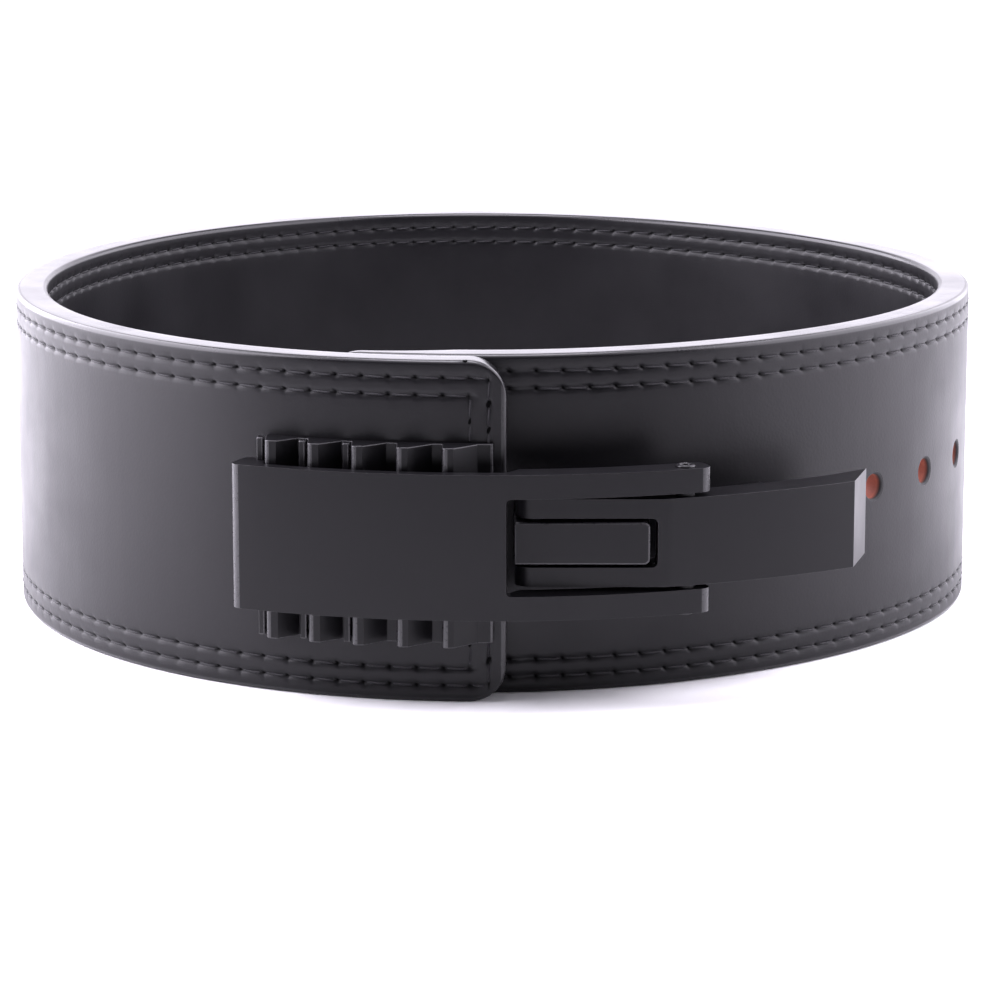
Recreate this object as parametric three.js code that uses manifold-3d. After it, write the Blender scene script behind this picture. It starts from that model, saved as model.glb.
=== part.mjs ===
// A weightlifting belt: one thick leather strap bent into a waist loop and held by an
// adjustable lever buckle. Millimetres, +Z up, the belt stands on its lower edge.
// The buckle is at the front, which looks along -Y, and +X is on the viewer's right.
// A "turn" is an angle round the belt's axis, in radians, from the front towards +X.
import * as THREE from 'three';
import { mergeVertices } from 'three/addons/utils/BufferGeometryUtils.js';
import Module from 'manifold-3d';

const FULL_TURN = 2 * Math.PI;

// Strap
const STRAP_HEIGHT = 100;
const STRAP_THICKNESS = 10;
const STRAP_EDGE_ROUND = 2.2;
const STRAP_CORNER_RADIUS = 10.5;
const LAYER_GAP = 0.3;
const LOOP_RADIUS = 144;
const OUTER_END_REACH = 4;
const INNER_END_REACH = 48;
const SKIVE_LENGTH = 38;
const SKIVE_END_THICKNESS = 1.6;

// The loop isn't a true circle: each row adds one wave round it, as shares of LOOP_RADIUS.
const LOOP_WAVES = [
  { wave: 1, cosine: 0, sine: 0.0075 },
  { wave: 2, cosine: 0.0141, sine: 0 },
  { wave: 3, cosine: -0.0064, sine: -0.0142 },
  { wave: 4, cosine: 0.0058, sine: 0 },
];

// Row of punched holes along the strap's middle
const HOLE_RADIUS = 3.8;
const HOLE_PITCH = 30;
const FIRST_HOLE_REACH = 133;
const OPEN_HOLES_BEFORE = 1;
const OPEN_HOLES_AFTER = 2;

// Gaps between pieces that touch or turn in each other
const SEAT_GAP = 0.3;
const PIN_GAP = 0.28;

// Rack
const RACK_BELOW_MIDDLE = 2.7;
const RACK_HEIGHT = 58.2;
const RACK_FLOOR = 2;
const TOOTH_COUNT = 5;
const TOOTH_PITCH = 12.4;
const TOOTH_DEPTH = 9.3;
const TOOTH_NOSE_WIDTH = 3.2;
const TOOTH_NOSE_SLOPE = 1.9;
const RACK_TAIL = 1.4;
const RACK_LEFT_OF_FRONT = 1;
const RACK_EDGE_ROUND = 0.5;

// Hook plate
const PLATE_BELOW_MIDDLE = 1.4;
const PLATE_HEIGHT = 42.2;
const PLATE_THICKNESS = 4;
const PLATE_EDGE_ROUND = 0.9;
const PLATE_HEEL = 9.7;
const PLATE_END_ROUND = 3.4;
const PLATE_END_CLEARANCE = 2.6;
const FORK_DEPTH = 9;
const FORK_END_WALL = 4.4;
const FORK_SLOT_CLEARANCE = 2.5;
const FORK_STEP = 4;
const FORK_SLOT_CORNER = 1.2;
const CATCH_COUNT = 3;
const CATCH_WIDTH = 2.2;
const CATCH_DEPTH = 3;
const CATCH_SIDE_GAP = 0.4;
const CATCH_FLOOR_GAP = 0.7;
const CATCH_WEB_INSET = 0.3;

// Lever
const LEVER_HEIGHT = 25.6;
const LEVER_THICKNESS = 11.2;
const LEVER_REACH = 111.5;
const LEVER_FLARE = 2;
const LEVER_BEVEL_REACH = 15.9;
const LEVER_WALL = 3.2;
const LEVER_EDGE_ROUND = 0.8;
const LEVER_SIDE_GAP = 1.3;
const LEVER_SLOT_CLEARANCE = 2.2;
const LEVER_SLOT_CORNER = 1.4;
const LEVER_EYE_RADIUS = 5;

// Base plate and its hinge boss
const BASE_THICKNESS = 4;
const BASE_HEIGHT = 19;
const BASE_PAST_SCREW = 11;
const BASE_EDGE_ROUND = 0.6;
const BOSS_HEIGHT = 12.4;
const BOSS_WALL = 2.8;
const BOSS_LENGTH = 38.8;
const BOSS_PROUD = 1;
const BOSS_SIDE_GAP = 0.95;
const BOSS_CORNER = 1.6;
const BOSS_EDGE_ROUND = 0.6;

// Pins
const HINGE_PIN_RADIUS = 2.5;
const HINGE_PIN_X = 11.5;
const HINGE_PIN_ABOVE_STRAP = 1.8;
const FORK_PIN_RADIUS = 2.8;
const FORK_PIN_REACH = 57.4;
const FORK_PIN_DEPTH = 4;
const FORK_PIN_PROUD = 0.7;
const FORK_PIN_RECESS_RADIUS = 1.5;
const FORK_PIN_RECESS_DEPTH = 1.8;
const PIN_EDGE_ROUND = 0.3;

// Screws
const SCREW_HEAD_DEPTH = 2.2;
const SCREW_INSET = 0.3;
const RACK_SCREW_HEAD_RADIUS = 4;
const RACK_SCREW_RADIUS = 1.6;
const RACK_SCREW_BITE = 4.6;
const RACK_SCREW_FROM_END = 9.1;
const BASE_SCREW_COUNT = 2;
const BASE_SCREW_HEAD_RADIUS = 5.5;
const BASE_SCREW_RADIUS = 2.4;
const BASE_SCREW_BITE = 3.4;

// Smoothness of round shapes
const ARC_STEP = FULL_TURN / 150;
const STRAP_STEPS = 120;
const CORNER_SHARES = [0, 0.06, 0.2, 0.42, 0.7, 1];
const ROUND_STEPS = 4;
const EDGE_STEPS = 2;
const PIN_SIDES = 24;
const SCREW_SIDES = 16;
const HOLE_SIDES = 20;
const SAME_POINT = 1e-4;
const LARGEST_CUT = 0.49;
const LARGEST_ROUND = 0.3;

// Places worked out from the sizes above
const HALF_THICKNESS = STRAP_THICKNESS / 2;
const RACK_REACH = TOOTH_COUNT * TOOTH_PITCH + RACK_LEFT_OF_FRONT;
const BASE_REACH = FIRST_HOLE_REACH - (OPEN_HOLES_BEFORE + 1) * HOLE_PITCH + BASE_PAST_SCREW;
const OUTER_FACE = centreRadius(FULL_TURN) + HALF_THICKNESS;
const INNER_LAYER_FACE = centreRadius(0) + HALF_THICKNESS;
const PLATE_BACK = rackFront() + SEAT_GAP;
const PLATE_FRONT = PLATE_BACK + PLATE_THICKNESS;
const HOLE_LEVEL = STRAP_HEIGHT / 2;
const RACK_LEVEL = HOLE_LEVEL - RACK_BELOW_MIDDLE;
const PLATE_LEVEL = HOLE_LEVEL - PLATE_BELOW_MIDDLE;
const HOLE_TURN_STEP = HOLE_PITCH / INNER_LAYER_FACE;
const FIRST_HOLE_TURN = FIRST_HOLE_REACH / INNER_LAYER_FACE;
const HINGE_PIN = new THREE.Vector2(HINGE_PIN_X, -(OUTER_FACE + HINGE_PIN_ABOVE_STRAP));
const FORK_PIN = polar(FORK_PIN_REACH / PLATE_FRONT, PLATE_FRONT - FORK_PIN_DEPTH);
const LEVER_FLAT = HINGE_PIN.y - LEVER_EYE_RADIUS;
const BOSS_LEFT = HINGE_PIN_X - HINGE_PIN_RADIUS - BOSS_WALL;
const BOSS_RIGHT = BOSS_LEFT + BOSS_LENGTH;
const FORK_SLOT_LEFT = HINGE_PIN_X - LEVER_EYE_RADIUS - FORK_SLOT_CLEARANCE;
const FORK_SLOT_HEIGHT = LEVER_HEIGHT + 2 * LEVER_SIDE_GAP;
const LEVER_SLOT_HEIGHT = BOSS_HEIGHT + 2 * BOSS_SIDE_GAP;
const LEVER_SLOT_END = BOSS_RIGHT + LEVER_SLOT_CLEARANCE;

const LEATHER = new THREE.MeshStandardMaterial({ color: 0x2b292d, roughness: 0.45, metalness: 0 });
const COATED = new THREE.MeshStandardMaterial({ color: 0x232226, roughness: 0.42, metalness: 0.6 });
const STEEL = new THREE.MeshStandardMaterial({ color: 0x4a494d, roughness: 0.35, metalness: 0.9 });

const manifold = await Module();
manifold.setup();

/** Plan point at a turn and a distance from the belt's axis. */
function polar(turn, radius) {
  return new THREE.Vector2(radius * Math.sin(turn), -radius * Math.cos(turn));
}

/** Distance of the strap's centre line from the axis. It grows by one layer in a full turn. */
function centreRadius(turn) {
  let radius = LOOP_RADIUS + (STRAP_THICKNESS + LAYER_GAP) * (turn / FULL_TURN);
  for (const { wave, cosine, sine } of LOOP_WAVES) {
    radius += LOOP_RADIUS * (cosine * Math.cos(wave * turn) + sine * Math.sin(wave * turn));
  }
  return radius;
}

/** Direction that points out of the strap's outer face, in plan. */
function strapNormal(turn) {
  const step = SAME_POINT;
  const ahead = polar(turn + step, centreRadius(turn + step));
  const behind = polar(turn - step, centreRadius(turn - step));
  const along = ahead.sub(behind).normalize();
  return new THREE.Vector2(along.y, -along.x);
}

/** Plan point of the strap, so far outward of its centre line. */
function strapPoint(turn, outward) {
  const point = polar(turn, centreRadius(turn));
  return point.addScaledVector(strapNormal(turn), outward);
}

/** Plan points from one turn to another, at steps of about ARC_STEP. */
function along(from, to, place) {
  const steps = Math.max(1, Math.ceil(Math.abs(to - from) / ARC_STEP));
  const points = [];
  for (let i = 0; i <= steps; i += 1) {
    points.push(place(THREE.MathUtils.lerp(from, to, i / steps)));
  }
  return points;
}

/** A closed outline with a corner rounded wherever a row of the list names a radius. */
function rounded(corners) {
  const points = [];
  corners.forEach(({ at, round }, i) => {
    if (!round) {
      points.push(at);
      return;
    }
    const before = corners.at(i - 1).at.clone().sub(at);
    const after = corners[(i + 1) % corners.length].at.clone().sub(at);
    const half = Math.abs(before.angleTo(after)) / 2;
    const room = Math.min(before.length(), after.length()) * LARGEST_CUT;
    const cut = Math.min(round / Math.tan(half), room);
    const start = at.clone().addScaledVector(before.normalize(), cut);
    const end = at.clone().addScaledVector(after.normalize(), cut);
    const curve = new THREE.QuadraticBezierCurve(start, at, end);
    points.push(...curve.getPoints(ROUND_STEPS));
  });
  return points;
}

/** Rows for rounded() from plain points. */
function plain(points) {
  return points.map((at) => ({ at, round: 0 }));
}

function solidOf(geometry) {
  geometry.deleteAttribute('normal');
  geometry.deleteAttribute('uv');
  const merged = mergeVertices(geometry, SAME_POINT);
  const mesh = new manifold.Mesh({
    numProp: 3,
    vertProperties: new Float32Array(merged.attributes.position.array),
    triVerts: new Uint32Array(merged.index.array),
  });
  return new manifold.Manifold(mesh);
}

function geometryOf(solid) {
  const { vertProperties, triVerts } = solid.getMesh();
  const geometry = new THREE.BufferGeometry();
  geometry.setAttribute('position', new THREE.BufferAttribute(vertProperties, 3));
  geometry.setIndex(new THREE.BufferAttribute(triVerts, 1));
  return geometry;
}

/** An upright body with a plan outline, its top and bottom edges rounded. */
function upright(outline, bottom, top, round = 0) {
  const geometry = new THREE.ExtrudeGeometry(new THREE.Shape(outline), {
    depth: top - bottom - 2 * round,
    bevelEnabled: round > 0,
    bevelThickness: round,
    bevelSize: round,
    bevelOffset: -round,
    bevelSegments: EDGE_STEPS,
  });
  geometry.translate(0, 0, bottom + round);
  return solidOf(geometry);
}

/** A body with a rounded rectangle as its front view, from one distance in front to another. */
function frontal({ left, right, bottom, top, near, far, corner, round = 0 }) {
  const outline = rounded([
    { at: new THREE.Vector2(left, bottom), round: corner },
    { at: new THREE.Vector2(right, bottom), round: corner },
    { at: new THREE.Vector2(right, top), round: corner },
    { at: new THREE.Vector2(left, top), round: corner },
  ]);
  const body = new THREE.ExtrudeGeometry(new THREE.Shape(outline), {
    depth: far - near - 2 * round,
    bevelEnabled: round > 0,
    bevelThickness: round,
    bevelSize: round,
    bevelOffset: -round,
    bevelSegments: EDGE_STEPS,
  });
  body.rotateX(Math.PI / 2);
  body.translate(0, -near - round, 0);
  return solidOf(body);
}

function circle(centre, radius, sides) {
  const points = [];
  for (let i = 0; i < sides; i += 1) {
    const angle = FULL_TURN * (i / sides);
    points.push(new THREE.Vector2(Math.cos(angle), Math.sin(angle)).multiplyScalar(radius).add(centre));
  }
  return points;
}

/** The running bore of an upright pin. */
function pinBore(centre, radius) {
  return upright(circle(centre, radius + PIN_GAP, PIN_SIDES), 0, STRAP_HEIGHT);
}

/** Turns a body made along +Y so that it points out of the strap at a turn, and sets it at a level. */
function pointOutward(geometry, turn, distance, level) {
  geometry.rotateZ(turn + Math.PI);
  const at = polar(turn, distance);
  geometry.translate(at.x, at.y, level);
  return solidOf(geometry);
}

/** The strap's section at a turn, a rectangle with rounded edges, as points in space. */
function ringOf(turn, inner, outer, halfHeight, round) {
  const rise = halfHeight - round;
  const corners = [
    { outward: outer - round, up: rise },
    { outward: inner + round, up: rise },
    { outward: inner + round, up: -rise },
    { outward: outer - round, up: -rise },
  ];
  const ring = [];
  corners.forEach(({ outward, up }, quarter) => {
    for (let i = 0; i <= EDGE_STEPS; i += 1) {
      const angle = (quarter + i / EDGE_STEPS) * (FULL_TURN / 4);
      const at = strapPoint(turn, outward + round * Math.cos(angle));
      ring.push(new THREE.Vector3(at.x, at.y, HOLE_LEVEL + up + round * Math.sin(angle)));
    }
  });
  return ring;
}

/** A closed body through rings of as many points each. */
function loft(rings) {
  const size = rings[0].length;
  const positions = rings.flat().flatMap((point) => point.toArray());
  const index = [];
  for (let r = 0; r + 1 < rings.length; r += 1) {
    for (let i = 0; i < size; i += 1) {
      const a = r * size + i;
      const b = r * size + (i + 1) % size;
      index.push(a, a + size, b, b, a + size, b + size);
    }
  }
  const last = (rings.length - 1) * size;
  for (let i = 1; i + 1 < size; i += 1) {
    index.push(0, i, i + 1, last, last + i + 1, last + i);
  }
  const geometry = new THREE.BufferGeometry();
  geometry.setAttribute('position', new THREE.Float32BufferAttribute(positions, 3));
  geometry.setIndex(index);
  return geometry;
}

/** How far a rounded corner of a radius has drawn back, at a distance from the end. */
function drawnBack(distance, radius) {
  if (distance >= radius) {
    return 0;
  }
  const rest = radius - distance;
  return radius - Math.sqrt(radius * radius - rest * rest);
}

/** The strap's ring at a turn: its ends are rounded, and its inner end is skived on the inside. */
function strapRing(turn, firstTurn, lastTurn) {
  const fromInner = (turn - firstTurn) * centreRadius(turn);
  const fromOuter = (lastTurn - turn) * centreRadius(turn);
  const fromEnd = Math.min(fromInner, fromOuter);
  const skived = THREE.MathUtils.clamp(fromInner / SKIVE_LENGTH, 0, 1);
  const thickness = THREE.MathUtils.lerp(SKIVE_END_THICKNESS, STRAP_THICKNESS, skived);
  const round = Math.min(STRAP_EDGE_ROUND, thickness * LARGEST_ROUND);
  const halfHeight = STRAP_HEIGHT / 2 - drawnBack(fromEnd, STRAP_CORNER_RADIUS);
  const pinch = drawnBack(fromEnd, round);
  const outer = HALF_THICKNESS - pinch;
  const inner = HALF_THICKNESS - thickness + pinch;
  return ringOf(turn, inner, outer, halfHeight, Math.min(round, (outer - inner) * LARGEST_ROUND));
}

/** Turns at which the strap has a ring: even steps, and close ones at its two ends. */
function strapTurns(firstTurn, lastTurn) {
  const fromFirst = CORNER_SHARES.map((share) => firstTurn + share * (STRAP_CORNER_RADIUS / LOOP_RADIUS));
  const fromLast = CORNER_SHARES.map((share) => lastTurn - share * (STRAP_CORNER_RADIUS / LOOP_RADIUS));
  const turns = [...fromFirst];
  for (let i = 1; i < STRAP_STEPS; i += 1) {
    turns.push(THREE.MathUtils.lerp(fromFirst.at(-1), fromLast.at(-1), i / STRAP_STEPS));
  }
  return [...turns, ...fromLast.reverse()];
}

/**
 * A countersunk screw through the strap from the inside, or with a gap the room that it needs,
 * which opens into the waist.
 */
function screwSolid({ headRadius, radius, bite, turn, layerTurn, level }, gap) {
  const start = gap > 0 ? -STRAP_THICKNESS : 0;
  const length = STRAP_THICKNESS - SCREW_INSET + SEAT_GAP + bite;
  const profile = [
    new THREE.Vector2(0, start),
    new THREE.Vector2(headRadius + gap, start),
    new THREE.Vector2(headRadius + gap, gap),
    new THREE.Vector2(radius + gap, SCREW_HEAD_DEPTH + gap),
    new THREE.Vector2(radius + gap, length + gap),
    new THREE.Vector2(0, length + gap),
  ];
  if (gap === 0) {
    profile.splice(2, 1);
  }
  const body = new THREE.LatheGeometry(profile, SCREW_SIDES);
  const seat = centreRadius(layerTurn) - HALF_THICKNESS + SCREW_INSET;
  return pointOutward(body, turn, seat, level);
}

function rackScrews() {
  const screws = [];
  for (const tooth of [0, TOOTH_COUNT - 1]) {
    for (const side of [-1, 1]) {
      const turn = toothTurn(tooth) + TOOTH_NOSE_WIDTH / OUTER_FACE;
      screws.push({
        headRadius: RACK_SCREW_HEAD_RADIUS,
        radius: RACK_SCREW_RADIUS,
        bite: RACK_SCREW_BITE,
        turn,
        layerTurn: FULL_TURN + turn,
        level: RACK_LEVEL + side * (RACK_HEIGHT / 2 - RACK_SCREW_FROM_END),
      });
    }
  }
  return screws;
}

function baseScrews() {
  const screws = [];
  for (let i = 1; i <= BASE_SCREW_COUNT; i += 1) {
    const turn = FIRST_HOLE_TURN - (OPEN_HOLES_BEFORE + i) * HOLE_TURN_STEP;
    screws.push({
      headRadius: BASE_SCREW_HEAD_RADIUS,
      radius: BASE_SCREW_RADIUS,
      bite: BASE_SCREW_BITE,
      turn,
      layerTurn: turn,
      level: HOLE_LEVEL,
    });
  }
  return screws;
}

function strap() {
  const firstTurn = -INNER_END_REACH / centreRadius(0);
  const lastTurn = FULL_TURN + OUTER_END_REACH / centreRadius(FULL_TURN);
  const rings = strapTurns(firstTurn, lastTurn).map((turn) => strapRing(turn, firstTurn, lastTurn));
  let solid = solidOf(loft(rings));
  for (let i = -OPEN_HOLES_BEFORE; i <= OPEN_HOLES_AFTER; i += 1) {
    const turn = FIRST_HOLE_TURN + i * HOLE_TURN_STEP;
    const punch = new THREE.CylinderGeometry(HOLE_RADIUS, HOLE_RADIUS, 2 * STRAP_THICKNESS, HOLE_SIDES);
    solid = solid.subtract(pointOutward(punch, turn, centreRadius(turn), HOLE_LEVEL));
  }
  for (const screw of [...rackScrews(), ...baseScrews()]) {
    solid = solid.subtract(screwSolid(screw, SEAT_GAP));
  }
  return solid;
}

/** Turn of the steep left side of a tooth, counted from the rack's left end. */
function toothTurn(tooth) {
  return (tooth * TOOTH_PITCH - RACK_REACH) / OUTER_FACE;
}

/** X of the steep left side of a tooth, which runs straight out from the belt. */
function toothSide(tooth) {
  return polar(toothTurn(tooth), OUTER_FACE + TOOTH_DEPTH).x;
}

/** Distance from the axis to the foremost tooth. */
function rackFront() {
  let front = 0;
  for (let tooth = 0; tooth < TOOTH_COUNT; tooth += 1) {
    front = Math.max(front, onOuterFaceAt(toothSide(tooth), TOOTH_DEPTH).length());
  }
  return front;
}

/** Plan point so far out from the strap's outer face, at a turn of the outer layer. */
function onOuterFace(turn, off) {
  return strapPoint(FULL_TURN + turn, HALF_THICKNESS + off);
}

/** Plan point at an X, so far out from the strap's outer face: the turn is found by steps. */
function onOuterFaceAt(x, off) {
  let turn = Math.asin(x / OUTER_FACE);
  let miss = x - onOuterFace(turn, off).x;
  while (Math.abs(miss) > SAME_POINT) {
    turn += miss / OUTER_FACE;
    miss = x - onOuterFace(turn, off).x;
  }
  return onOuterFace(turn, off);
}

/** Room in a pocket for a catch bar: its width and a gap on each side. */
function pocketWidth() {
  return CATCH_WIDTH + 2 * CATCH_SIDE_GAP;
}

function rack() {
  const floor = SEAT_GAP + RACK_FLOOR;
  const outline = [];
  for (let tooth = 0; tooth < TOOTH_COUNT; tooth += 1) {
    const side = toothSide(tooth);
    outline.push(onOuterFaceAt(side, tooth === 0 ? SEAT_GAP : floor));
    outline.push(onOuterFaceAt(side, TOOTH_DEPTH));
    outline.push(onOuterFaceAt(side + TOOTH_NOSE_WIDTH, TOOTH_DEPTH - TOOTH_NOSE_SLOPE));
    outline.push(onOuterFaceAt(toothSide(tooth + 1) - pocketWidth(), floor));
  }
  const right = toothSide(TOOTH_COUNT) + RACK_TAIL;
  outline.push(onOuterFaceAt(right, floor));
  outline.push(onOuterFaceAt(right, SEAT_GAP));
  const backTurn = Math.asin(right / OUTER_FACE);
  const back = along(backTurn, toothTurn(0), (turn) => onOuterFace(turn, SEAT_GAP));
  outline.push(...back.slice(1, -1));
  let solid = upright(
    outline,
    RACK_LEVEL - RACK_HEIGHT / 2,
    RACK_LEVEL + RACK_HEIGHT / 2,
    RACK_EDGE_ROUND,
  );
  for (const screw of rackScrews()) {
    solid = solid.subtract(screwSolid(screw, PIN_GAP));
  }
  return solid;
}

/** Plan outline of a catch bar beside a tooth, between two distances from the strap. */
function catchOutline(tooth, fromOff, toOff, inset = 0) {
  const right = toothSide(tooth) - CATCH_SIDE_GAP - inset;
  const left = right - CATCH_WIDTH + 2 * inset;
  return [
    onOuterFaceAt(left, fromOff),
    onOuterFaceAt(right, fromOff),
    onOuterFaceAt(right, toOff),
    onOuterFaceAt(left, toOff),
  ];
}

function hookPlate() {
  const bottom = PLATE_LEVEL - PLATE_HEIGHT / 2;
  const top = PLATE_LEVEL + PLATE_HEIGHT / 2;
  const leftTurn = toothTurn(0) - PLATE_HEEL / PLATE_FRONT;
  const rightTurn = (FORK_PIN_REACH + FORK_PIN_RADIUS + FORK_END_WALL) / PLATE_FRONT;
  const endBack = OUTER_FACE + PLATE_END_CLEARANCE;
  const forkBack = PLATE_FRONT - FORK_DEPTH;
  const catchSide = toothSide(0) - CATCH_SIDE_GAP - CATCH_WIDTH / 2;
  const catchTurn = Math.asin(catchSide / PLATE_BACK);
  const forkTurn = FORK_SLOT_LEFT / PLATE_BACK;
  const armTurn = (FORK_SLOT_LEFT + FORK_STEP) / PLATE_BACK;
  const endTurn = 2 * (PLATE_END_ROUND / PLATE_FRONT);
  const outline = rounded([
    { at: polar(leftTurn, PLATE_FRONT), round: PLATE_END_ROUND },
    ...plain(along(leftTurn + endTurn, rightTurn - endTurn, (turn) => polar(turn, PLATE_FRONT))),
    { at: polar(rightTurn, PLATE_FRONT), round: PLATE_END_ROUND },
    { at: polar(rightTurn, forkBack), round: PLATE_END_ROUND },
    ...plain(along(rightTurn - endTurn, armTurn, (turn) => polar(turn, forkBack))),
    ...plain(along(forkTurn, catchTurn, (turn) => polar(turn, PLATE_BACK))),
    { at: polar(Math.asin(catchSide / endBack), endBack), round: 0 },
    { at: polar(leftTurn, endBack), round: PLATE_END_ROUND },
  ]);
  let solid = upright(outline, bottom, top, PLATE_EDGE_ROUND);
  const barFrom = SEAT_GAP + RACK_FLOOR + CATCH_FLOOR_GAP;
  const barTo = barFrom + CATCH_DEPTH;
  const webRoom = PLATE_EDGE_ROUND + CATCH_WEB_INSET;
  for (let tooth = 0; tooth < CATCH_COUNT; tooth += 1) {
    const webTo = TOOTH_DEPTH + PLATE_THICKNESS / 2;
    const web = catchOutline(tooth, barFrom + CATCH_WEB_INSET, webTo, CATCH_WEB_INSET);
    solid = solid.add(upright(web, bottom + webRoom, top - webRoom));
    const barBottom = RACK_LEVEL - RACK_HEIGHT / 2;
    const barTop = RACK_LEVEL + RACK_HEIGHT / 2;
    solid = solid.add(upright(catchOutline(tooth, barFrom, barTo), barBottom, barTop, RACK_EDGE_ROUND));
  }
  const slot = frontal({
    left: FORK_SLOT_LEFT,
    right: PLATE_FRONT,
    bottom: PLATE_LEVEL - FORK_SLOT_HEIGHT / 2,
    top: PLATE_LEVEL + FORK_SLOT_HEIGHT / 2,
    near: 0,
    far: 2 * PLATE_FRONT,
    corner: FORK_SLOT_CORNER,
  });
  return solid.subtract(slot).subtract(pinBore(FORK_PIN, FORK_PIN_RADIUS));
}

/** Distance of the lever's front from the axis: it flares a little towards its finger end. */
function leverFront(turn) {
  const flatTurn = Math.acos(-LEVER_FLAT / PLATE_FRONT);
  const endTurn = LEVER_REACH / PLATE_FRONT;
  const share = THREE.MathUtils.clamp((turn - flatTurn) / (endTurn - flatTurn), 0, 1);
  return PLATE_FRONT + LEVER_FLARE * share * share;
}

function leverOutline() {
  const flatTurn = Math.acos(-LEVER_FLAT / PLATE_FRONT);
  const endTurn = LEVER_REACH / PLATE_FRONT;
  const bevelTurn = endTurn + LEVER_BEVEL_REACH / PLATE_FRONT;
  const backTurn = flatTurn + FORK_DEPTH / PLATE_FRONT;
  const eye = [];
  for (let i = 0; i <= 2 * ROUND_STEPS; i += 1) {
    const angle = Math.PI / 2 + Math.PI * (i / (2 * ROUND_STEPS));
    const spoke = new THREE.Vector2(Math.cos(angle), Math.sin(angle));
    eye.push(spoke.multiplyScalar(LEVER_EYE_RADIUS).add(HINGE_PIN));
  }
  const front = along(flatTurn, endTurn, (turn) => polar(turn, leverFront(turn)));
  const back = along(bevelTurn, backTurn, (turn) => polar(turn, leverFront(turn) - LEVER_THICKNESS));
  return [...eye, ...front, ...back];
}

function lever() {
  const bottom = PLATE_LEVEL - LEVER_HEIGHT / 2;
  const top = PLATE_LEVEL + LEVER_HEIGHT / 2;
  const body = upright(leverOutline(), bottom, top, LEVER_EDGE_ROUND);
  const slot = frontal({
    left: -LEVER_SLOT_END,
    right: LEVER_SLOT_END,
    bottom: PLATE_LEVEL - LEVER_SLOT_HEIGHT / 2,
    top: PLATE_LEVEL + LEVER_SLOT_HEIGHT / 2,
    near: 0,
    far: 2 * PLATE_FRONT,
    corner: LEVER_SLOT_CORNER,
  });
  const hollowFrom = FORK_PIN_REACH / PLATE_FRONT + (FORK_PIN_RADIUS + LEVER_WALL) / PLATE_FRONT;
  const hollowTo = (LEVER_REACH - LEVER_WALL) / PLATE_FRONT;
  const hollow = upright(
    [
      ...along(hollowFrom, hollowTo, (turn) => polar(turn, leverFront(turn) - LEVER_WALL)),
      ...along(hollowTo, hollowFrom, (turn) => polar(turn, leverFront(turn) - 2 * LEVER_THICKNESS)),
    ],
    bottom + LEVER_WALL,
    top - LEVER_WALL,
  );
  return body
    .subtract(slot)
    .subtract(hollow)
    .subtract(pinBore(HINGE_PIN, HINGE_PIN_RADIUS))
    .subtract(pinBore(FORK_PIN, FORK_PIN_RADIUS));
}

function basePlate() {
  const firstTurn = BOSS_LEFT / INNER_LAYER_FACE;
  const lastTurn = BASE_REACH / INNER_LAYER_FACE;
  const seat = (turn) => strapPoint(turn, HALF_THICKNESS + SEAT_GAP);
  const topOf = (turn) => strapPoint(turn, HALF_THICKNESS + SEAT_GAP + BASE_THICKNESS);
  const foot = upright(
    [...along(firstTurn, lastTurn, seat), ...along(lastTurn, firstTurn, topOf)],
    PLATE_LEVEL - BASE_HEIGHT / 2,
    PLATE_LEVEL + BASE_HEIGHT / 2,
    BASE_EDGE_ROUND,
  );
  const bossFront = -LEVER_FLAT + BOSS_PROUD;
  const block = frontal({
    left: BOSS_LEFT,
    right: BOSS_RIGHT,
    bottom: PLATE_LEVEL - BOSS_HEIGHT / 2,
    top: PLATE_LEVEL + BOSS_HEIGHT / 2,
    near: 0,
    far: bossFront,
    corner: BOSS_CORNER,
    round: BOSS_EDGE_ROUND,
  });
  const rightTurn = Math.asin(BOSS_RIGHT / INNER_LAYER_FACE) + ARC_STEP;
  const middle = (turn) => strapPoint(turn, HALF_THICKNESS + SEAT_GAP + BASE_THICKNESS / 2);
  const room = upright(
    [
      ...along(firstTurn, rightTurn, middle),
      new THREE.Vector2(2 * BOSS_RIGHT, -2 * PLATE_FRONT),
      new THREE.Vector2(0, -2 * PLATE_FRONT),
    ],
    0,
    STRAP_HEIGHT,
  );
  let solid = foot.add(block.intersect(room));
  solid = solid.subtract(pinBore(HINGE_PIN, HINGE_PIN_RADIUS));
  for (const screw of baseScrews()) {
    solid = solid.subtract(screwSolid(screw, PIN_GAP));
  }
  return solid;
}

function hingePin() {
  const bottom = PLATE_LEVEL - LEVER_HEIGHT / 2 + LEVER_EDGE_ROUND;
  const top = PLATE_LEVEL + LEVER_HEIGHT / 2 - LEVER_EDGE_ROUND;
  return upright(circle(HINGE_PIN, HINGE_PIN_RADIUS, PIN_SIDES), bottom, top, PIN_EDGE_ROUND);
}

/** A pin with a hollow at each end, which shows as a ring. */
function forkPin() {
  const bottom = PLATE_LEVEL - PLATE_HEIGHT / 2 - FORK_PIN_PROUD;
  const top = PLATE_LEVEL + PLATE_HEIGHT / 2 + FORK_PIN_PROUD;
  const shaft = upright(circle(FORK_PIN, FORK_PIN_RADIUS, PIN_SIDES), bottom, top, PIN_EDGE_ROUND);
  const recess = circle(FORK_PIN, FORK_PIN_RECESS_RADIUS, PIN_SIDES);
  return shaft
    .subtract(upright(recess, 0, bottom + FORK_PIN_RECESS_DEPTH))
    .subtract(upright(recess, top - FORK_PIN_RECESS_DEPTH, STRAP_HEIGHT));
}

const belt = new THREE.Group();

function add(name, solid, material) {
  const mesh = new THREE.Mesh(geometryOf(solid), material.clone());
  mesh.name = name;
  belt.add(mesh);
}

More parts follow.
